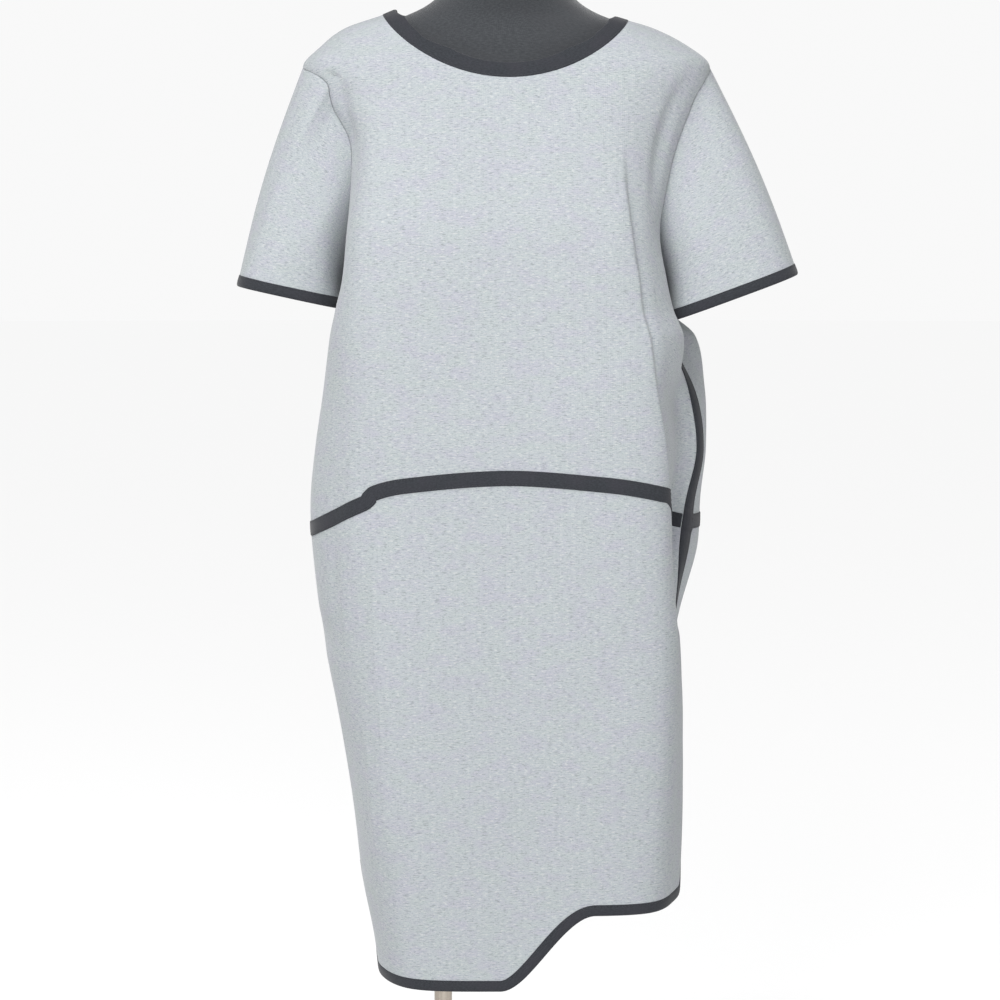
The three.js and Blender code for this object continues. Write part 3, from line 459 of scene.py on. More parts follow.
def smooth_point(around, z):
    """The dress before its creases: a closed centripetal curve through each section's marks."""
    around, z = np.broadcast_arrays(np.asarray(around, float), np.asarray(z, float))
    levels, back_to = np.unique(z.ravel(), return_inverse=True)
    marks = section_marks(levels)[back_to]
    turn = around.ravel() % MARKS
    i = np.minimum(np.floor(turn).astype(int), MARKS - 1)
    t = (turn - i)[:, None]
    row = np.arange(len(i))
    p0, p1, p2, p3 = (marks[row, (i + k) % MARKS] for k in (-1, 0, 1, 2))
    apart = [np.maximum(np.sum((b - a) ** 2, -1, keepdims=True) ** 0.25, 1e-4)
             for a, b in ((p0, p1), (p1, p2), (p2, p3))]
    d0, d1, d2 = apart
    t1 = ((p1 - p0) / d0 - (p2 - p0) / (d0 + d1) + (p2 - p1) / d1) * d1
    t2 = ((p2 - p1) / d1 - (p3 - p1) / (d1 + d2) + (p3 - p2) / d2) * d1
    flat = p1 + t * (t1 + t * ((-3 * p1 + 3 * p2 - 2 * t1 - t2) + t * (2 * p1 - 2 * p2 + t1 + t2)))
    return np.concatenate([flat, z.reshape(-1, 1)], 1).reshape(*z.shape, 3)


def unit(vectors):
    return vectors / np.maximum(np.linalg.norm(vectors, axis=-1, keepdims=True), 1e-9)


def surface_frame(surface, around, z):
    """How a surface runs at places: along it, up it, and straight out of it."""
    along = surface(around + PROBE_AROUND, z) - surface(around - PROBE_AROUND, z)
    up = surface(around, z + PROBE_UP) - surface(around, z - PROBE_UP)
    return along / (2 * PROBE_AROUND), up / (2 * PROBE_UP), unit(np.cross(along, up))


def crease_rise(creases, across, along, round_count):
    """How far the cloth stands out at places. Across runs in a ring of round_count."""
    rise = np.zeros(np.broadcast(across, along).shape)
    for middle, level, lean, length, width, height in creases:
        reach = np.clip(1 - ((along - level) / (length / 2)) ** 2, 0, None) ** 2
        apart = across - middle - lean * (along - level)
        apart = apart - round_count * np.round(apart / round_count)
        rise = rise + height * reach * np.exp(-((apart / width) ** 2))
    return rise


def lapped_fold(around, z):
    """The fold at the wearer's left: it rises slowly to its edge, then drops in a sharp step."""
    past = (around - columns_at(FOLD_LINE, z)[..., 1]) * MARK_WIDTH
    low, high = (np.clip(gap / FOLD_FADE, 0, 1) for gap in (z - FOLD_LINE[0, 0], FOLD_LINE[-1, 0] - z))
    reach = low * low * (3 - 2 * low) * high * high * (3 - 2 * high)
    before = FOLD_RISE * np.exp(-((past / FOLD_BEFORE) ** 2))
    after = ((FOLD_RISE + FOLD_DROP) * np.exp(-((past / FOLD_EDGE) ** 2))
             - FOLD_DROP * np.exp(-((past / FOLD_AFTER) ** 2)))
    return reach * np.where(past < 0, before, after)


def dress_point(around, z):
    around, z = np.broadcast_arrays(np.asarray(around, float), np.asarray(z, float))
    normal = surface_frame(smooth_point, around, z)[2]
    rise = crease_rise(CREASES + FINE_CREASES, around, z, MARKS) + lapped_fold(around, z)
    return smooth_point(around, z) + rise[..., None] * normal


def place(around, z):
    return np.stack(np.broadcast_arrays(np.asarray(around, float), np.asarray(z, float)), -1)


def laid(places):
    """Points of the dress at places, and the directions straight out of it."""
    around, z = places[..., 0], places[..., 1]
    return dress_point(around, z), surface_frame(dress_point, around, z)[2]


def waist_height(around):
    wrapped = np.concatenate([WAIST_LINE - (MARKS, 0), WAIST_LINE, WAIST_LINE + (MARKS, 0)])
    return columns_at(wrapped, np.asarray(around, float) % MARKS)[..., 1]


def moved_in(path, width, ring=False):
    """A path moved over the dress by a width, to its left-hand side as it is walked."""
    if ring:
        before, after = np.roll(path, 1, 0), np.roll(path, -1, 0)
        before[0, 0] -= MARKS
        after[-1, 0] += MARKS
    else:
        before, after = np.concatenate([path[:1], path[:-1]]), np.concatenate([path[1:], path[-1:]])
    along, up, normal = surface_frame(dress_point, path[:, 0], path[:, 1])
    run = along * (after - before)[:, :1] + up * (after - before)[:, 1:]
    shift = unit(np.cross(normal, run)) * width
    a, b, c = (np.sum(u * v, -1) for u, v in ((along, along), (along, up), (up, up)))
    p, q = np.sum(shift * along, -1), np.sum(shift * up, -1)
    size = a * c - b * b
    return path + np.stack([(c * p - b * q) / size, (a * q - b * p) / size], -1)


def evenly(start, end, count, z, fine_steps=800):
    """Around values that part a stretch of the section at one height into equal lengths."""
    fine = np.linspace(start, end, fine_steps)
    points = dress_point(fine, np.full(fine.shape, z))
    run = np.concatenate([[0], np.cumsum(np.linalg.norm(np.diff(points, axis=0), axis=1))])
    return np.interp(np.linspace(0, run[-1], count + 1), run, fine)


def shares_up(edge):
    """Shares of an edge's length at its places, over the flat cloth."""
    steps = np.diff(edge, axis=0) * (MARK_WIDTH, 1)
    run = np.concatenate([[0], np.cumsum(np.linalg.norm(steps, axis=1))])
    return run / run[-1]


def coons(bottom, top, left, right, spacing):
    """Grid of places between four edges, whose side edges' bends fade towards its middle."""
    t = ((shares_up(left) + shares_up(right)) / 2)[:, None, None]
    s = ((spacing - spacing[0]) / (spacing[-1] - spacing[0]))[None, :, None]

    def bend(edge):
        return edge[:, None] - edge[0] * (1 - t) - edge[-1] * t
    straight = bottom[None] * (1 - t) + top[None] * t
    return straight + bend(left) * (1 - s) ** BEND_FADE + bend(right) * s ** BEND_FADE


def closer_columns(grid):
    """Parts each column where the lapped fold runs, so that the fold's edge stays sharp."""
    columns = []
    for left, right in zip(np.moveaxis(grid, 1, 0), np.moveaxis(grid, 1, 0)[1:]):
        parts = FOLD_COLUMN_PARTS if FOLD_COLUMNS_FROM < left[:, 0].mean() < FOLD_COLUMNS_TO else 1
        columns += [left + (right - left) * k / parts for k in range(parts)]
    return np.stack([*columns, grid[:, -1]], 1)


def beside_edges(grid):
    """Adds the close columns in which cloth rolls down into its seams at both side edges."""
    def close(edge, inner, limit=0.8):
        span = np.linalg.norm(dress_point(*inner.T) - dress_point(*edge.T), axis=1)[:, None]
        return [edge + (inner - edge) * np.minimum(distance / span, limit) for distance, _ in SEAM_ROLL[1:]]
    left = close(grid[:, 0], grid[:, 1])
    right = close(grid[:, -1], grid[:, -2])
    return np.stack([grid[:, 0], *left, *np.moveaxis(grid[:, 1:-1], 1, 0), *right[::-1], grid[:, -1]], 1)


def armhole_place(seam, inward, t):
    """The armhole's edge from the armpit, where t is 0, to the shoulder tip."""
    turn = t * math.pi
    rise = (1 - np.cos(turn)) / 2 * (1 - ARMHOLE_POINT) + t * ARMHOLE_POINT
    behind = inward == (1 if seam == LEFT_SEAM else -1)
    spread = columns_at(ARMHOLE, np.asarray(t, float))[..., 3 if behind else 2 if seam == LEFT_SEAM else 1]
    return place(seam + inward * spread, ARMPIT + (SHOULDER_TIP - ARMPIT) * rise)


def bodice_side(seam, inward, rows):
    """The side seam, the armhole's edge and the shoulder of one side, as rows for each."""
    seam_rows, armhole_rows, shoulder_rows = rows
    t = np.linspace(0, 1, seam_rows + 1)
    low = waist_height(seam)
    side = place(seam, low + (ARMPIT - low) * t)
    hole = armhole_place(seam, inward, np.linspace(0, 1, armhole_rows + 1))
    top = place(seam, np.linspace(SHOULDER_TIP, NECK_POINTS[seam], shoulder_rows + 1))
    return np.concatenate([side, hole[1:], top[1:]])


def neckline(start, end, drop, columns, halvings=26):
    """A round dip from one neck point to the other. Halving finds the around that gives each x."""
    z0, z1 = NECK_POINTS[start], NECK_POINTS[end]
    x0, x1 = (dress_point(np.array([a]), np.array([b]))[0, 0] for a, b in ((start, z0), (end, z1)))
    q = -np.cos(np.linspace(0, math.pi, columns + 1))
    x = (x0 + x1) / 2 + q * (x1 - x0) / 2
    z = (z0 + z1) / 2 + q * (z1 - z0) / 2 - drop * np.clip(1 - q * q, 0, None) ** NECK_ROUNDNESS
    low, high = np.full(x.shape, start), np.full(x.shape, end)
    for _ in range(halvings):
        middle = (low + high) / 2
        short = (dress_point(middle, z)[:, 0] < x) == (x1 > x0)
        low, high = np.where(short, middle, low), np.where(short, high, middle)
    around = (low + high) / 2
    around[0], around[-1] = start, end
    return place(around, z)


def grain(places, centre, low=360, high=1412, turn_parts=20, level_step=8.0):
    """Where a place lies in the flat cloth, in metres across and up, so that the knit follows it."""
    levels = np.arange(low, high, level_step)
    turns = np.linspace(0, MARKS, MARKS * turn_parts + 1)
    points = dress_point(turns[:, None], levels[None, :])
    across = np.cumsum(np.linalg.norm(np.diff(points, axis=0, prepend=points[:1]), axis=-1), 0)
    upward = np.cumsum(np.linalg.norm(np.diff(points, axis=1, prepend=points[:, :1]), axis=-1), 1)
    across = across - across[centre * turn_parts]
    i = np.clip(places[..., 0] * turn_parts, 0, len(turns) - 1.001)
    j = np.clip((places[..., 1] - levels[0]) / level_step, 0, len(levels) - 1.001)
    i0, j0 = i.astype(int), j.astype(int)
    s, t = i - i0, j - j0

    def blended(values):
        return ((values[i0, j0] * (1 - s) + values[i0 + 1, j0] * s) * (1 - t)
                + (values[i0, j0 + 1] * (1 - s) + values[i0 + 1, j0 + 1] * s) * t)
    return np.stack([blended(across), blended(upward)], -1) * MM


def shell(name, outer, inner, uv, material, ring=False, sharp_deg=50):
    """A closed wall between two grids of points. With ring, its last column joins its first."""
    rows, columns = outer.shape[:2]
    wide, inside = uv.shape[1], rows * columns
    spans = np.arange(columns if ring else columns - 1)
    steps = np.arange(rows - 1)
    i, j = (g.ravel() for g in np.meshgrid(steps, spans, indexing="ij"))
    k = (j + 1) % columns
    face = np.stack([i * columns + j, i * columns + k, (i + 1) * columns + k, (i + 1) * columns + j], 1)
    mapped = np.stack([i * wide + j, i * wide + j + 1, (i + 1) * wide + j + 1, (i + 1) * wide + j], 1)
    faces, maps = [face, inside + face[:, ::-1]], [mapped, mapped[:, ::-1]]

    def close(near, far, near_map, far_map, turned_over):
        """Faces across the wall's thickness along one edge, from each near point to its far one."""
        rim = np.stack([inside + near, inside + far, far, near], 1)
        rim_map = np.stack([near_map, far_map, far_map, near_map], 1)
        faces.append(rim[:, ::-1] if turned_over else rim)
        maps.append(rim_map[:, ::-1] if turned_over else rim_map)
    for row in (0, rows - 1):
        close(row * columns + spans, row * columns + (spans + 1) % columns,
              row * wide + spans, row * wide + spans + 1, row > 0)
    for column in (() if ring else (0, columns - 1)):
        close((steps + 1) * columns + column, steps * columns + column,
              (steps + 1) * wide + column, steps * wide + column, column > 0)
    faces, maps = np.concatenate(faces), np.concatenate(maps)
    vertices = np.concatenate([outer.reshape(-1, 3), inner.reshape(-1, 3)])
    a, b, c = (vertices[faces[:, k]] for k in (0, 1, 2))
    if np.sum(a * np.cross(b, c)) + np.sum(a * np.cross(c, vertices[faces[:, 3]])) < 0:
        faces, maps = faces[:, ::-1], maps[:, ::-1]
    vertices = vertices + (DRESS_X, 0, 0)
    return finish_mesh(name, vertices, faces.tolist(), material, sharp_deg, uv.reshape(-1, 2)[maps.ravel()])


def melange_finish():
    """Light grey melange: short dark and pale flecks along the courses, on a faintly mottled ground."""
    material, tree, shader = new_material("melange_double_knit")
    cloth = node(tree, "ShaderNodeUVMap", uv_map="cloth").outputs["UV"]
    dark = remap(tree, noise(tree, cloth, (150, 820, 1), 4, 0.68, 3.1, True), 0.52, 0.7)
    fine_dark = remap(tree, noise(tree, cloth, (420, 1150, 1), 3, 0.68, 7.7, True), 0.54, 0.7)
    pale = remap(tree, noise(tree, cloth, (170, 760, 1), 4, 0.68, 12.4, True), 0.53, 0.7)
    lilac = remap(tree, noise(tree, cloth, (34, 60, 1), 3, 0.6, 21.0, True), 0.4, 0.68)
    green = remap(tree, noise(tree, cloth, (30, 66, 1), 3, 0.6, 31.0, True), 0.42, 0.7)
    fibre = noise(tree, cloth, (900, 2400, 1), 2, 0.6, 41.0, True)
    colour = tint(tree, lilac, (0.318, 0.343, 0.358, 1), (0.318, 0.326, 0.364, 1))
    for flecks, share, shade in (
        (green, 0.6, (0.312, 0.347, 0.343, 1)), (dark, 0.7, (0.166, 0.183, 0.201, 1)),
        (fine_dark, 0.5, (0.143, 0.157, 0.172, 1)), (pale, 0.75, (0.425, 0.435, 0.442, 1)),
    ):
        colour = tint(tree, maths(tree, "MULTIPLY", flecks, share), colour, shade)
    knit = bump(tree, wales(tree, cloth, 145.0, 1.2, 2.0, 2.0), 0.12, 0.35)
    nap = bump(tree, fibre, 0.18, 0.5, knit)
    slub = bump(tree, dark, 0.1, 0.4, nap)
    feed(tree, shader, base_color=colour, roughness=0.95, specular_ior_level=0.2, sheen_weight=0.18,
         sheen_roughness=0.45, normal=slub)
    return material


melange = melange_finish()


def panel(name, grid, centre):
    """A cloth wall on a grid of places, sunk at its side seams. Its knit runs straight at centre."""
    points, normals = laid(grid)
    sink = np.zeros(grid.shape[:2])
    for column, (_, depth) in enumerate(SEAM_ROLL):
        sink[:, column] = sink[:, -1 - column] = depth
    middle = points - sink[..., None] * normals
    half = normals * CLOTH / 2
    return shell(name, middle + half, middle - half, grain(grid, centre), melange)


def bodice_grid(start, end, drop, columns, rows):
    """Places of a bodice panel up to its raw neck edge, and the line where the neck binding starts."""
    around = evenly(start, end, columns, WAIST_LEVEL)
    waist = place(around, waist_height(around))
    neck = neckline(start, end, drop, columns)
    left, right = bodice_side(start, 1, rows), bodice_side(end, -1, rows)
    grid = closer_columns(coons(waist, neck, left, right, around))
    tucked = moved_in(grid[-1], UNDER_BINDING)
    tucked[0, 0], tucked[-1, 0] = start, end
    grid = np.concatenate([grid, ((grid[-1] + tucked) / 2)[None], tucked[None]])
    return beside_edges(grid), neck


FRONT_CENTRE, BACK_CENTRE = 3, 8
FRONT_COLUMNS, BACK_COLUMNS = 150, 126
SIDE_ROWS = (88, 62, 24)  # along the side seam, the armhole and the shoulder
front_bodice_grid, front_neck = bodice_grid(RIGHT_SEAM, LEFT_SEAM, NECK_DROP_FRONT, FRONT_COLUMNS, SIDE_ROWS)
front_bodice = panel("bodice_front_cloth", front_bodice_grid, FRONT_CENTRE)
attach(front_bodice, "front_bodice")


# The bodice back: one piece of the same jersey, seamed to the front at the shoulders and sides.
back_bodice_grid, back_neck = bodice_grid(LEFT_SEAM, MARKS, NECK_DROP_BACK, BACK_COLUMNS, SIDE_ROWS)
back_bodice = panel("bodice_back_cloth", back_bodice_grid, BACK_CENTRE)
attach(back_bodice, "back_bodice")


# The skirt front: one piece of jersey from the waist seam to a slanting hem, with rounded corners at
# the side slits. The hem hangs low on the wearer's right and steps up to the left.
SLIT_LENGTH, HEM_CORNER = 120.0, 34.0
SLIT_STEP = 5.0  # how far the binding's ends stop below the top of a slit
HEM_LOW, HEM_RISE, HEM_RISE_FROM, HEM_RISE_TO = 391.0, 81.0, -8.0, 88.0
SLIT_ROWS, CORNER_STEPS, SKIRT_ROWS = 24, 16, 108


def hem_height(x):
    t = np.clip((x - HEM_RISE_FROM) / (HEM_RISE_TO - HEM_RISE_FROM), 0, 1)
    return HEM_LOW + HEM_RISE * t * t * (3 - 2 * t)


def slit_top(seam):
    return float(hem_height(dress_point(np.array([seam]), HEM_LOW + HEM_CORNER)[0, 0])) + SLIT_LENGTH


def hem_corner(seam, inward, turn):
    level = slit_top(seam) - SLIT_LENGTH
    scale = np.linalg.norm(surface_frame(dress_point, np.array([seam]), level)[0][0])
    around = seam + inward * HEM_CORNER * (1 - np.cos(turn)) / scale
    return place(around, hem_height(dress_point(around, level)[:, 0]) + HEM_CORNER * (1 - np.sin(turn)))


def hem_outline(start, end, columns):
    """The hem's lower edge: down one slit, round the corners and along, and up the other slit."""
    turn = np.linspace(0, math.pi / 2, CORNER_STEPS + 1)
    first, last = hem_corner(start, 1, turn), hem_corner(end, -1, turn)
    level = HEM_LOW + HEM_RISE / 2
    around = evenly(first[-1, 0], last[-1, 0], columns - CORNER_STEPS, level)
    hem = place(around, hem_height(dress_point(around, level)[:, 0]))

    def slit(seam, corner):
        return place(seam, np.linspace(slit_top(seam) - SLIT_STEP, corner[0, 1], SLIT_ROWS + 1))
    return np.concatenate([slit(start, first), first[1:], hem[1:-1], last[::-1], slit(end, last)[::-1][1:]])


def skirt_grid(start, end, columns):
    """Places of a skirt panel from its raw hem up, and the line along the hem binding's fold."""
    path = hem_outline(start, end, columns)
    cut = moved_in(path, BINDING_WIDTH - UNDER_BINDING)
    cut[0, 1], cut[-1, 1] = slit_top(start) - SLIT_STEP / 2, slit_top(end) - SLIT_STEP / 2
    side = SLIT_ROWS + CORNER_STEPS // 2
    waist_around = evenly(start, end, columns, WAIST_LEVEL)
    waist = place(waist_around, waist_height(waist_around))

    def edge(seam, low):
        upper = place(seam, np.linspace(slit_top(seam), waist_height(seam), SKIRT_ROWS + 1))
        return np.concatenate([low, upper])
    left, right = edge(start, cut[:side + 1][::-1]), edge(end, cut[-side - 1:])
    grid = coons(cut[side:len(cut) - side], waist, left, right, waist_around)
    return beside_edges(closer_columns(grid)), path


front_skirt_grid, front_hem = skirt_grid(RIGHT_SEAM, LEFT_SEAM, FRONT_COLUMNS)
front_skirt = panel("skirt_front_cloth", front_skirt_grid, FRONT_CENTRE)
attach(front_skirt, "front_skirt")


# The skirt back: the same cut without the front's folds, joined to the front at the side seams down
# to the slits.
back_skirt_grid, back_hem = skirt_grid(LEFT_SEAM, MARKS, BACK_COLUMNS)
back_skirt = panel("skirt_back_cloth", back_skirt_grid, BACK_CENTRE)
attach(back_skirt, "back_skirt")


# The sleeves: short set-in sleeves of the same jersey, one piece each, seamed under the arm and round
# the armhole. Each ring starts under the arm and goes round by the front.
CUFFS = {  # outer end, inner end, and depths in front and behind
    "right": ((-279, 1114), (-169, 1090), 64, 46),
    "left": ((299, 1126), (163, 1076), 64, 46),
}
CUFF_SQUARENESS = 0.7  # power on the front half of the cuff's ring, where 1 is an oval
SLEEVE_UNDER, SLEEVE_TOP = 8.0, 6.0  # how far the sleeve swells out under the arm and over it
SLEEVE_RING, SLEEVE_LEVELS, SLEEVE_PROBE = 120, 66, 0.01
SLEEVE_CREASES = {  # turn, share of the way down, lean, length in shares, width, rise
    "right": [(1.5, 0.5, 0.4, 1.1, 0.22, 1.5), (2.3, 0.6, -0.3, 0.9, 0.2, -1.4)],
    "left": [(1.3, 0.5, -0.2, 1.1, 0.22, 1.5), (2.1, 0.6, 0.3, 0.9, 0.2, -1.4)],
}


def sleeve_smooth(side, turn, t):
    """A sleeve's surface from the armhole, where t is 0, to the cuff's edge, where t is 1."""
    (outer_x, outer_z), (inner_x, inner_z), front, back = CUFFS[side]
    seam, inward = (RIGHT_SEAM, 1) if side == "right" else (LEFT_SEAM, -1)
    out = math.copysign(1, outer_x)
    turn, t = np.broadcast_arrays(turn, t)
    ahead = np.sin(turn) >= 0
    angle = turn % (2 * math.pi)
    share = np.where(angle <= math.pi, angle, 2 * math.pi - angle) / math.pi
    ahead_of, behind = armhole_place(seam, inward, share), armhole_place(seam, -inward, share)
    spots = np.where((angle <= math.pi)[..., None], ahead_of, behind)
    start = dress_point(spots[..., 0], spots[..., 1])
    swing = -np.cos(turn)  # from -1 under the arm to 1 over it
    power = np.where(ahead, CUFF_SQUARENESS, 1.0)
    over, forth = (np.sign(part) * np.abs(part) ** power for part in (swing, np.sin(turn)))
    end = np.stack([(outer_x + inner_x) / 2 + over * (outer_x - inner_x) / 2,
                    -forth * np.where(ahead, front, back),
                    (outer_z + inner_z) / 2 + over * (outer_z - inner_z) / 2], -1)
    point = start + (end - start) * t[..., None]
    swell = np.sin(math.pi * t)
    point[..., 0] += out * swell * (SLEEVE_UNDER + (SLEEVE_TOP - SLEEVE_UNDER) * (1 + swing) / 2)
    point[..., 1] -= np.sin(turn) * swell * SLEEVE_TOP
    return point


def sleeve_laid(side, turn, t):
    """Points of a sleeve with its creases, and the directions straight out of it."""
    turn, t = np.broadcast_arrays(turn, t)
    step = SLEEVE_PROBE
    round_way = sleeve_smooth(side, turn + step, t) - sleeve_smooth(side, turn - step, t)
    down = sleeve_smooth(side, turn, t + step) - sleeve_smooth(side, turn, t - step)
    normal = unit(np.cross(round_way, down)) * (1 if side == "right" else -1)
    rise = crease_rise(SLEEVE_CREASES[side], turn, t, 2 * math.pi)
    return sleeve_smooth(side, turn, t) + rise[..., None] * normal, normal


def sleeve_length(side, turn):
    return np.linalg.norm(sleeve_smooth(side, turn, 0.0) - sleeve_smooth(side, turn, 1.0), axis=1)


def sleeve(side):
    turn = full_turn(SLEEVE_RING)
    length = sleeve_length(side, turn)
    stop = 1 - (BINDING_WIDTH - UNDER_BINDING) / length
    distances, depths = np.array(SEAM_ROLL).T[..., None]
    close = distances / length
    levels = np.linspace(0, 1, SLEEVE_LEVELS)[1:, None]
    levels = np.concatenate([close, close[-1] + (stop - close[-1]) * levels])
    points, normals = sleeve_laid(side, turn[None, :], levels)
    sink = np.zeros(levels.shape)
    sink[:len(SEAM_ROLL)] = depths
    middle, half = points - sink[..., None] * normals, normals * CLOTH / 2
    closed = np.concatenate([points, points[:, :1]], 1)
    across = np.cumsum(np.linalg.norm(np.diff(closed, axis=1, prepend=closed[:, :1]), axis=-1), 1)
    down = np.cumsum(np.linalg.norm(np.diff(closed, axis=0, prepend=closed[:1]), axis=-1), 0)
    uv = np.stack([across - across[:, -1:] / 2, down[-1:] - down], -1) * MM
    return shell(f"sleeve_{side}_cloth", middle + half, middle - half, uv, melange, ring=True)


SLEEVE_CUTS = {"right": ((0.52, 0.24), 0.0585), "left": ((0.49, 0.24), 0.062)}  # flat size and area
for sleeve_side, (sleeve_flat, sleeve_area) in SLEEVE_CUTS.items():
    sleeve_piece = sleeve(sleeve_side)
    attach(sleeve_piece, f"sleeve_{sleeve_side}")


# The neck binding: a strip of charcoal knit folded over the raw neck edge and stitched through both
# sides, in one ring. The other bindings are folded and stitched the same way.
BINDING_OUTSIDE = np.array([  # distance from the strip's turned edge towards the fold, and its height
    (0.0, 0.8), (0.2, 1.3), (0.7, 1.6), (1.4, 1.6), (1.9, 1.48), (2.5, 1.64), (4.5, 1.8), (7.0, 1.86),
    (9.2, 1.76), (10.7, 1.46), (11.65, 0.95), (12.05, 0.3),
])
BINDING_INSIDE = np.array([  # the same for the strip's inner face
    (0.1, 0.72), (0.3, 0.72), (0.7, 0.74), (1.4, 0.76), (1.9, 0.76), (2.5, 0.78), (4.5, 0.86), (7.0, 0.9),
    (9.0, 0.84), (10.1, 0.66), (10.8, 0.42), (11.05, 0.14),
])
WIDENED_FROM, WIDENED_OVER = 2.5, 4.5  # the stretch of the profile that grows in a wider binding
NECK_BINDING_WIDTH = 16.0
STITCH_IN, STITCH_HEIGHT = 1.9, 1.56
STITCH_SIZES = {"Stitch length": 2.5, "Gap": 0.8, "Thread radius": 0.2}


def thread_finish():
    material, tree, shader = new_material("charcoal_thread")
    here = node(tree, "ShaderNodeTexCoord").outputs["Object"]
    shade = remap(tree, noise(tree, here, (420, 420, 420), 2, 0.6), 0.3, 0.7)
    feed(tree, shader, base_color=tint(tree, shade, (0.014, 0.016, 0.019, 1), (0.029, 0.031, 0.037, 1)),
         roughness=0.6, specular_ior_level=0.4)
    return material


def folded_binding(name, spot_at, length, ring, width=BINDING_WIDTH):
    """A strip folded round an edge. spot_at gives points and normals for distances from its start."""
    def widened(profile):
        """The profile with its stretch past the stitches made to suit the width, on both sides."""
        share = np.clip((profile[:, :1] - WIDENED_FROM) / WIDENED_OVER, 0, 1)
        over = profile + share * (width - BINDING_WIDTH, 0)
        return np.concatenate([over, over[::-1] * (1, -1)])
    outside, inside = widened(BINDING_OUTSIDE), widened(BINDING_INSIDE)
    skins = []
    for profile in (outside, inside):
        points, normals = spot_at(profile[:, 0])
        skins.append(points + normals * profile[:, 1, None, None])
    over = np.concatenate([[0], np.cumsum(np.linalg.norm(np.diff(outside, axis=0), axis=1))])
    columns = skins[0].shape[1] + (1 if ring else 0)
    along = np.linspace(0, length, columns)
    uv = np.stack(np.broadcast_arrays(along[None, :], over[:, None]), -1) * MM
    return shell(name, skins[0], skins[1], uv, charcoal, ring=ring)


def stitch_tree():
    """Running stitches along paths: a slim rounded bar of thread at each stitch."""
    tree = bpy.data.node_groups.new("running_stitch", "GeometryNodeTree")
    face = tree.interface
    face.new_socket("Paths", in_out="INPUT", socket_type="NodeSocketGeometry")
    for name, value in STITCH_SIZES.items():
        face.new_socket(name, in_out="INPUT", socket_type="NodeSocketFloat").default_value = value * MM
    face.new_socket("Thread", in_out="INPUT", socket_type="NodeSocketMaterial")
    face.new_socket("Stitches", in_out="OUTPUT", socket_type="NodeSocketGeometry")
    given = tree.nodes.new("NodeGroupInput").outputs
    curves = node(tree, "GeometryNodeMeshToCurve", {"Mesh": given["Paths"]}).outputs[0]
    pitch = maths(tree, "ADD", given["Stitch length"], given["Gap"])
    spots = node(tree, "GeometryNodeResampleCurve", {"Curve": curves, "Length": pitch}, mode="LENGTH")
    half, radius = maths(tree, "MULTIPLY", given["Stitch length"], 0.5), given["Thread radius"]
    size = node(tree, "ShaderNodeCombineXYZ", {0: radius, 1: radius, 2: half})
    bar = node(tree, "GeometryNodeMeshUVSphere", {"Segments": 5, "Rings": 4, "Radius": 1.0}).outputs["Mesh"]
    bar = node(tree, "GeometryNodeTransform", {"Geometry": bar, "Scale": size.outputs[0]}).outputs[0]
    tangent = node(tree, "GeometryNodeInputTangent").outputs[0]
    turn = node(tree, "FunctionNodeAlignRotationToVector", {"Vector": tangent}, axis="Z").outputs[0]
    loose = node(tree, "FunctionNodeRandomValue",
                 {"Min": (0.9, 0.9, 0.86), "Max": (1.1, 1.1, 1.04), "Seed": 7},
                 data_type="FLOAT_VECTOR").outputs[0]
    placed = node(tree, "GeometryNodeInstanceOnPoints",
                  {"Points": spots.outputs[0], "Instance": bar, "Rotation": turn, "Scale": loose}).outputs[0]
    real = node(tree, "GeometryNodeRealizeInstances", {"Geometry": placed}).outputs[0]
    smooth = node(tree, "GeometryNodeSetShadeSmooth", {0: real}).outputs[0]
    painted = node(tree, "GeometryNodeSetMaterial", {"Geometry": smooth, "Material": given["Thread"]})
    tree.links.new(painted.outputs[0], tree.nodes.new("NodeGroupOutput").inputs[0])
    return tree


def sewn(name, lines, closed=False):
    """Stitches along lines of points, in millimetres, as one piece. Closed lines run round."""
    vertices, edges = [], []
    for points in lines:
        start = len(vertices)
        vertices += (points * MM + (DRESS_X * MM, 0, 0)).tolist()
        edges += [(k, k + 1) for k in range(start, len(vertices) - 1)]
        if closed:
            edges.append((len(vertices) - 1, start))
    mesh = bpy.data.meshes.new(name + "_paths")
    mesh.from_pydata(vertices, edges, [])
    paths = add_object(name + "_paths", mesh)
    modifier = paths.modifiers.new("stitches", "NODES")
    modifier.node_group = running_stitch
    sockets = {item.name: item.identifier for item in running_stitch.interface.items_tree
               if item.item_type == "SOCKET" and item.in_out == "INPUT"}
    for name_of_size, value in STITCH_SIZES.items():
        modifier[sockets[name_of_size]] = value * MM
    modifier[sockets["Thread"]] = thread
    evaluated = paths.evaluated_get(bpy.context.evaluated_depsgraph_get())
    made = add_object(name, bpy.data.meshes.new_from_object(evaluated))
    bpy.data.objects.remove(paths)
    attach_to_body(made, "root")
    return made


def binding_stitches(name, spot_at, ring):
    """A row of stitches along a binding's turned edge, on both of its sides."""
    (points,), (normals,) = spot_at([STITCH_IN])
    return sewn(name, [points + normals * STITCH_HEIGHT, points - normals * STITCH_HEIGHT], ring)


def between(edge, fold, distances, width=BINDING_WIDTH):
    """Places part of the way from a binding's start to its fold, one row for each distance."""
    return edge[None] + (fold - edge)[None] * (np.asarray(distances, float) / width)[:, None, None]


def path_length(points):
    return float(np.sum(np.linalg.norm(np.diff(points, axis=0), axis=1)))


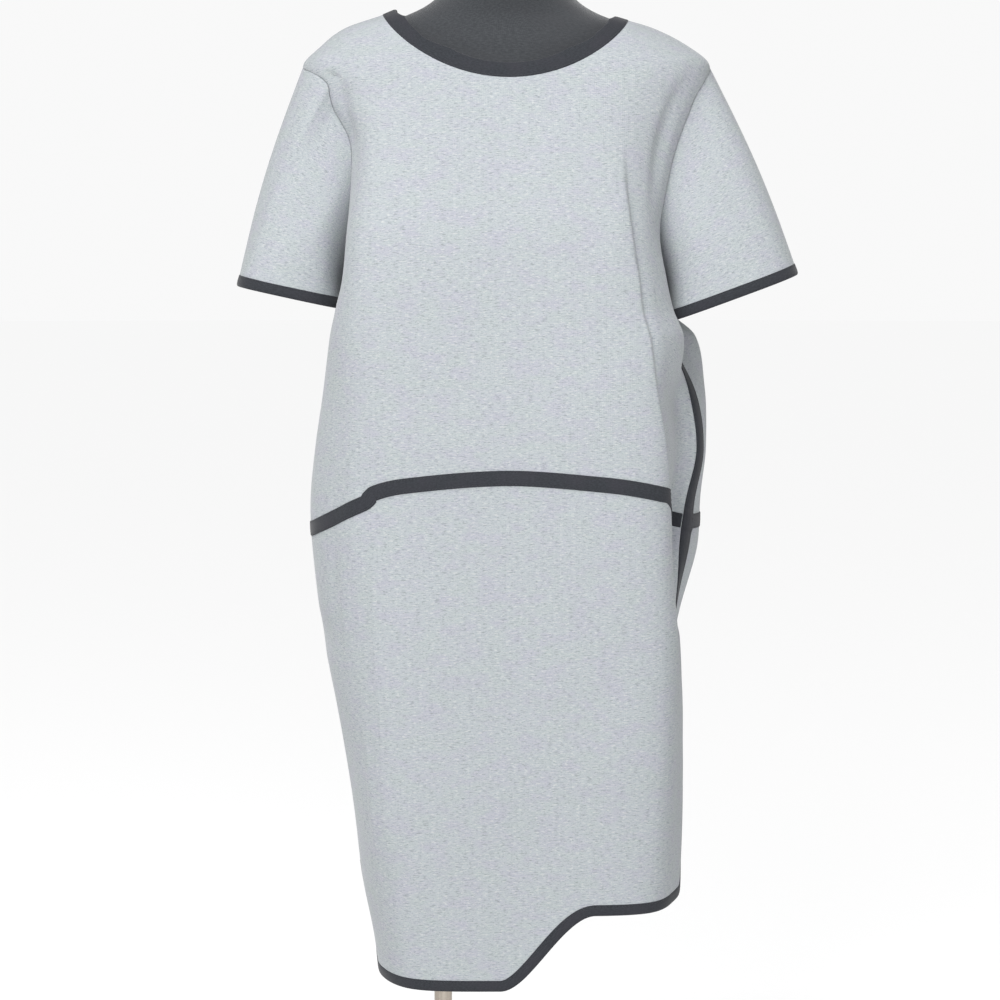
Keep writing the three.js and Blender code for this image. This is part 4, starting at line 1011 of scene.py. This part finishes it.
charcoal = dark_knit(
    "charcoal_knit", ground=(0.019, 0.021, 0.025), flecks=(0.030, 0.033, 0.039), fleck_spots=(300, 900),
    clouds=(0.032, 0.030, 0.038), cloud_spots=(22, 30), cloud_share=0.4, rib_rows=150.0, unevenness=0.8,
    fleck_place=5.0, cloud_place=9.0, roughness=0.93, specular_ior_level=0.2, sheen_weight=0.12,
    sheen_roughness=0.45)
thread = thread_finish()
running_stitch = stitch_tree()
neck_edge = np.concatenate([front_neck, back_neck[1:-1]])
neck_fold = moved_in(neck_edge, NECK_BINDING_WIDTH, ring=True)


def neck_spots(distances):
    return laid(between(neck_edge, neck_fold, distances, NECK_BINDING_WIDTH))


neck_length = path_length(laid(neck_edge)[0])
neck_binding = folded_binding("neck_binding_strip", neck_spots, neck_length, True, NECK_BINDING_WIDTH)
attach(neck_binding, "neck_binding")
neck_stitches = binding_stitches("neck_binding_stitches", neck_spots, True)


# The cuff bindings: a ring of the same folded strip round each sleeve's end.
CUFF_STATIONS = 150
CUFF_BINDING_CUTS = {"right": (0.36, 0.026), "left": (0.42, 0.026)}
for cuff_side, cuff_flat in CUFF_BINDING_CUTS.items():
    def cuff_spots(distances, side=cuff_side):
        turn = full_turn(CUFF_STATIONS)
        t = 1 - (BINDING_WIDTH - np.asarray(distances, float))[:, None] / sleeve_length(side, turn)
        return sleeve_laid(side, turn[None, :], t)
    cuff_length = path_length(sleeve_smooth(cuff_side, full_turn(CUFF_STATIONS), 1.0))
    cuff_binding = folded_binding(f"cuff_binding_{cuff_side}_strip", cuff_spots, cuff_length, True)
    attach(cuff_binding, f"cuff_binding_{cuff_side}")
    cuff_stitches = binding_stitches(f"cuff_{cuff_side}_stitches", cuff_spots, True)


# The hem bindings: one folded strip for the front and one for the back, each from the top of one
# slit, round the hem's corners, to the top of the other.
for hem_name, hem_path, hem_flat in (("front", front_hem, (0.69, 0.026)), ("back", back_hem, (0.63, 0.026))):
    hem_start = moved_in(hem_path, BINDING_WIDTH)

    def hem_spots(distances, start=hem_start, fold=hem_path):
        return laid(between(start, fold, distances))
    hem_length = path_length(laid(hem_path)[0])
    hem_binding = folded_binding(f"hem_binding_{hem_name}_strip", hem_spots, hem_length, False)
    attach(hem_binding, f"hem_binding_{hem_name}")
    hem_stitches = binding_stitches(f"hem_{hem_name}_stitches", hem_spots, False)


# The waist tapes: flat charcoal tape laid over the waist seam in front and behind, stitched along
# both edges. Their ends lie under the side tapes.
WAIST_TAPE_WIDTH = 15.5
WAIST_TAPE_SHORT = 3  # steps of the seam that the tape's ends stay short of each side
TAPE_EDGE = [  # distance in from the tape's edge, and the height of its face there
    (0.0, 0.95), (0.15, 1.5), (0.55, 1.85), (1.25, 1.9), (1.8, 1.76), (2.45, 1.92), (4.2, 2.0),
]
TAPE_CROWN, TAPE_UNDER = 2.05, 0.85
TAPE_STITCH_IN, TAPE_STITCH_HEIGHT = 1.8, 1.84


def tape_profile(width):
    """Distances across a tape from its middle, with the heights of its face."""
    rim = [(-width / 2 + inset, height) for inset, height in TAPE_EDGE]
    return np.array(rim + [(0.0, TAPE_CROWN)] + [(-x, height) for x, height in rim[::-1]])


def flat_tape(name, spot_at, width, length, lift=0.0):
    """A tape laid on the cloth. spot_at gives points and normals for distances from its middle."""
    profile = tape_profile(width)
    points, normals = spot_at(profile[:, 0])
    lift = np.broadcast_to(lift, points.shape[1])[None, :, None]
    face = points + normals * (profile[:, 1, None, None] + lift)
    under = points + normals * (TAPE_UNDER + lift)
    along = np.linspace(0, length, points.shape[1])[None, :]
    uv = np.stack(np.broadcast_arrays(along, profile[:, :1]), -1) * MM
    return shell(name, face, under, uv, charcoal)


def tape_stitches(name, spot_at, width, lift=0.0):
    inset = width / 2 - TAPE_STITCH_IN
    points, normals = spot_at([-inset, inset])
    lift = np.broadcast_to(lift, points.shape[1])[:, None]
    return sewn(name, [p + n * (TAPE_STITCH_HEIGHT + lift) for p, n in zip(points, normals)])


for waist_name, waist_from, waist_to, waist_columns, waist_flat in (
    ("front", RIGHT_SEAM, LEFT_SEAM, 2 * FRONT_COLUMNS, (0.55, 0.0155)),
    ("back", LEFT_SEAM, MARKS, 2 * BACK_COLUMNS, (0.54, 0.0155)),
):
    waist_around = evenly(waist_from, waist_to, waist_columns, WAIST_LEVEL)
    waist_around = waist_around[WAIST_TAPE_SHORT:-WAIST_TAPE_SHORT]
    waist_path = place(waist_around, waist_height(waist_around))

    def waist_spots(distances, path=waist_path):
        return laid(np.stack([moved_in(path, distance) for distance in distances]))
    waist_length = path_length(laid(waist_path)[0])
    waist_tape = flat_tape(f"waist_tape_{waist_name}_strip", waist_spots, WAIST_TAPE_WIDTH, waist_length)
    attach(waist_tape, f"waist_tape_{waist_name}")
    waist_stitches = tape_stitches(f"waist_tape_{waist_name}_stitches", waist_spots, WAIST_TAPE_WIDTH)


# The side tapes: the same tape over each side seam, from the top of the slit to just under the
# armhole. They are sewn last, so they lie over the waist tapes' ends.
SIDE_TAPE_WIDTH = 14.0
SIDE_TAPE_START, SIDE_TAPE_STOP = -1.0, 18.0  # above the slit's top, and below the armpit
SIDE_STATIONS = 190
OVER_WAIST, OVER_WAIST_SLOPE, OVER_WAIST_EARLY = 1.15, 0.7, 1.5  # the climb over the waist tape's end
for side_name, side_seam, side_flat in (
    ("right", RIGHT_SEAM, (0.635, 0.014)), ("left", LEFT_SEAM, (0.565, 0.014)),
):
    side_z = np.linspace(slit_top(side_seam) + SIDE_TAPE_START, ARMPIT - SIDE_TAPE_STOP, SIDE_STATIONS)
    side_path = place(side_seam, side_z)

    def side_spots(distances, path=side_path):
        return laid(np.stack([moved_in(path, -distance) for distance in distances]))
    off_waist = np.abs(side_z - waist_height(side_seam)) - WAIST_TAPE_WIDTH / 2
    side_lift = OVER_WAIST / (1 + np.exp(off_waist / OVER_WAIST_SLOPE - OVER_WAIST_EARLY))
    side_length = path_length(laid(side_path)[0])
    side_tape = flat_tape(f"side_tape_{side_name}_strip", side_spots, SIDE_TAPE_WIDTH, side_length,
                          side_lift)
    attach(side_tape, f"side_tape_{side_name}")
    side_stitches = tape_stitches(f"side_tape_{side_name}_stitches", side_spots, SIDE_TAPE_WIDTH, side_lift)
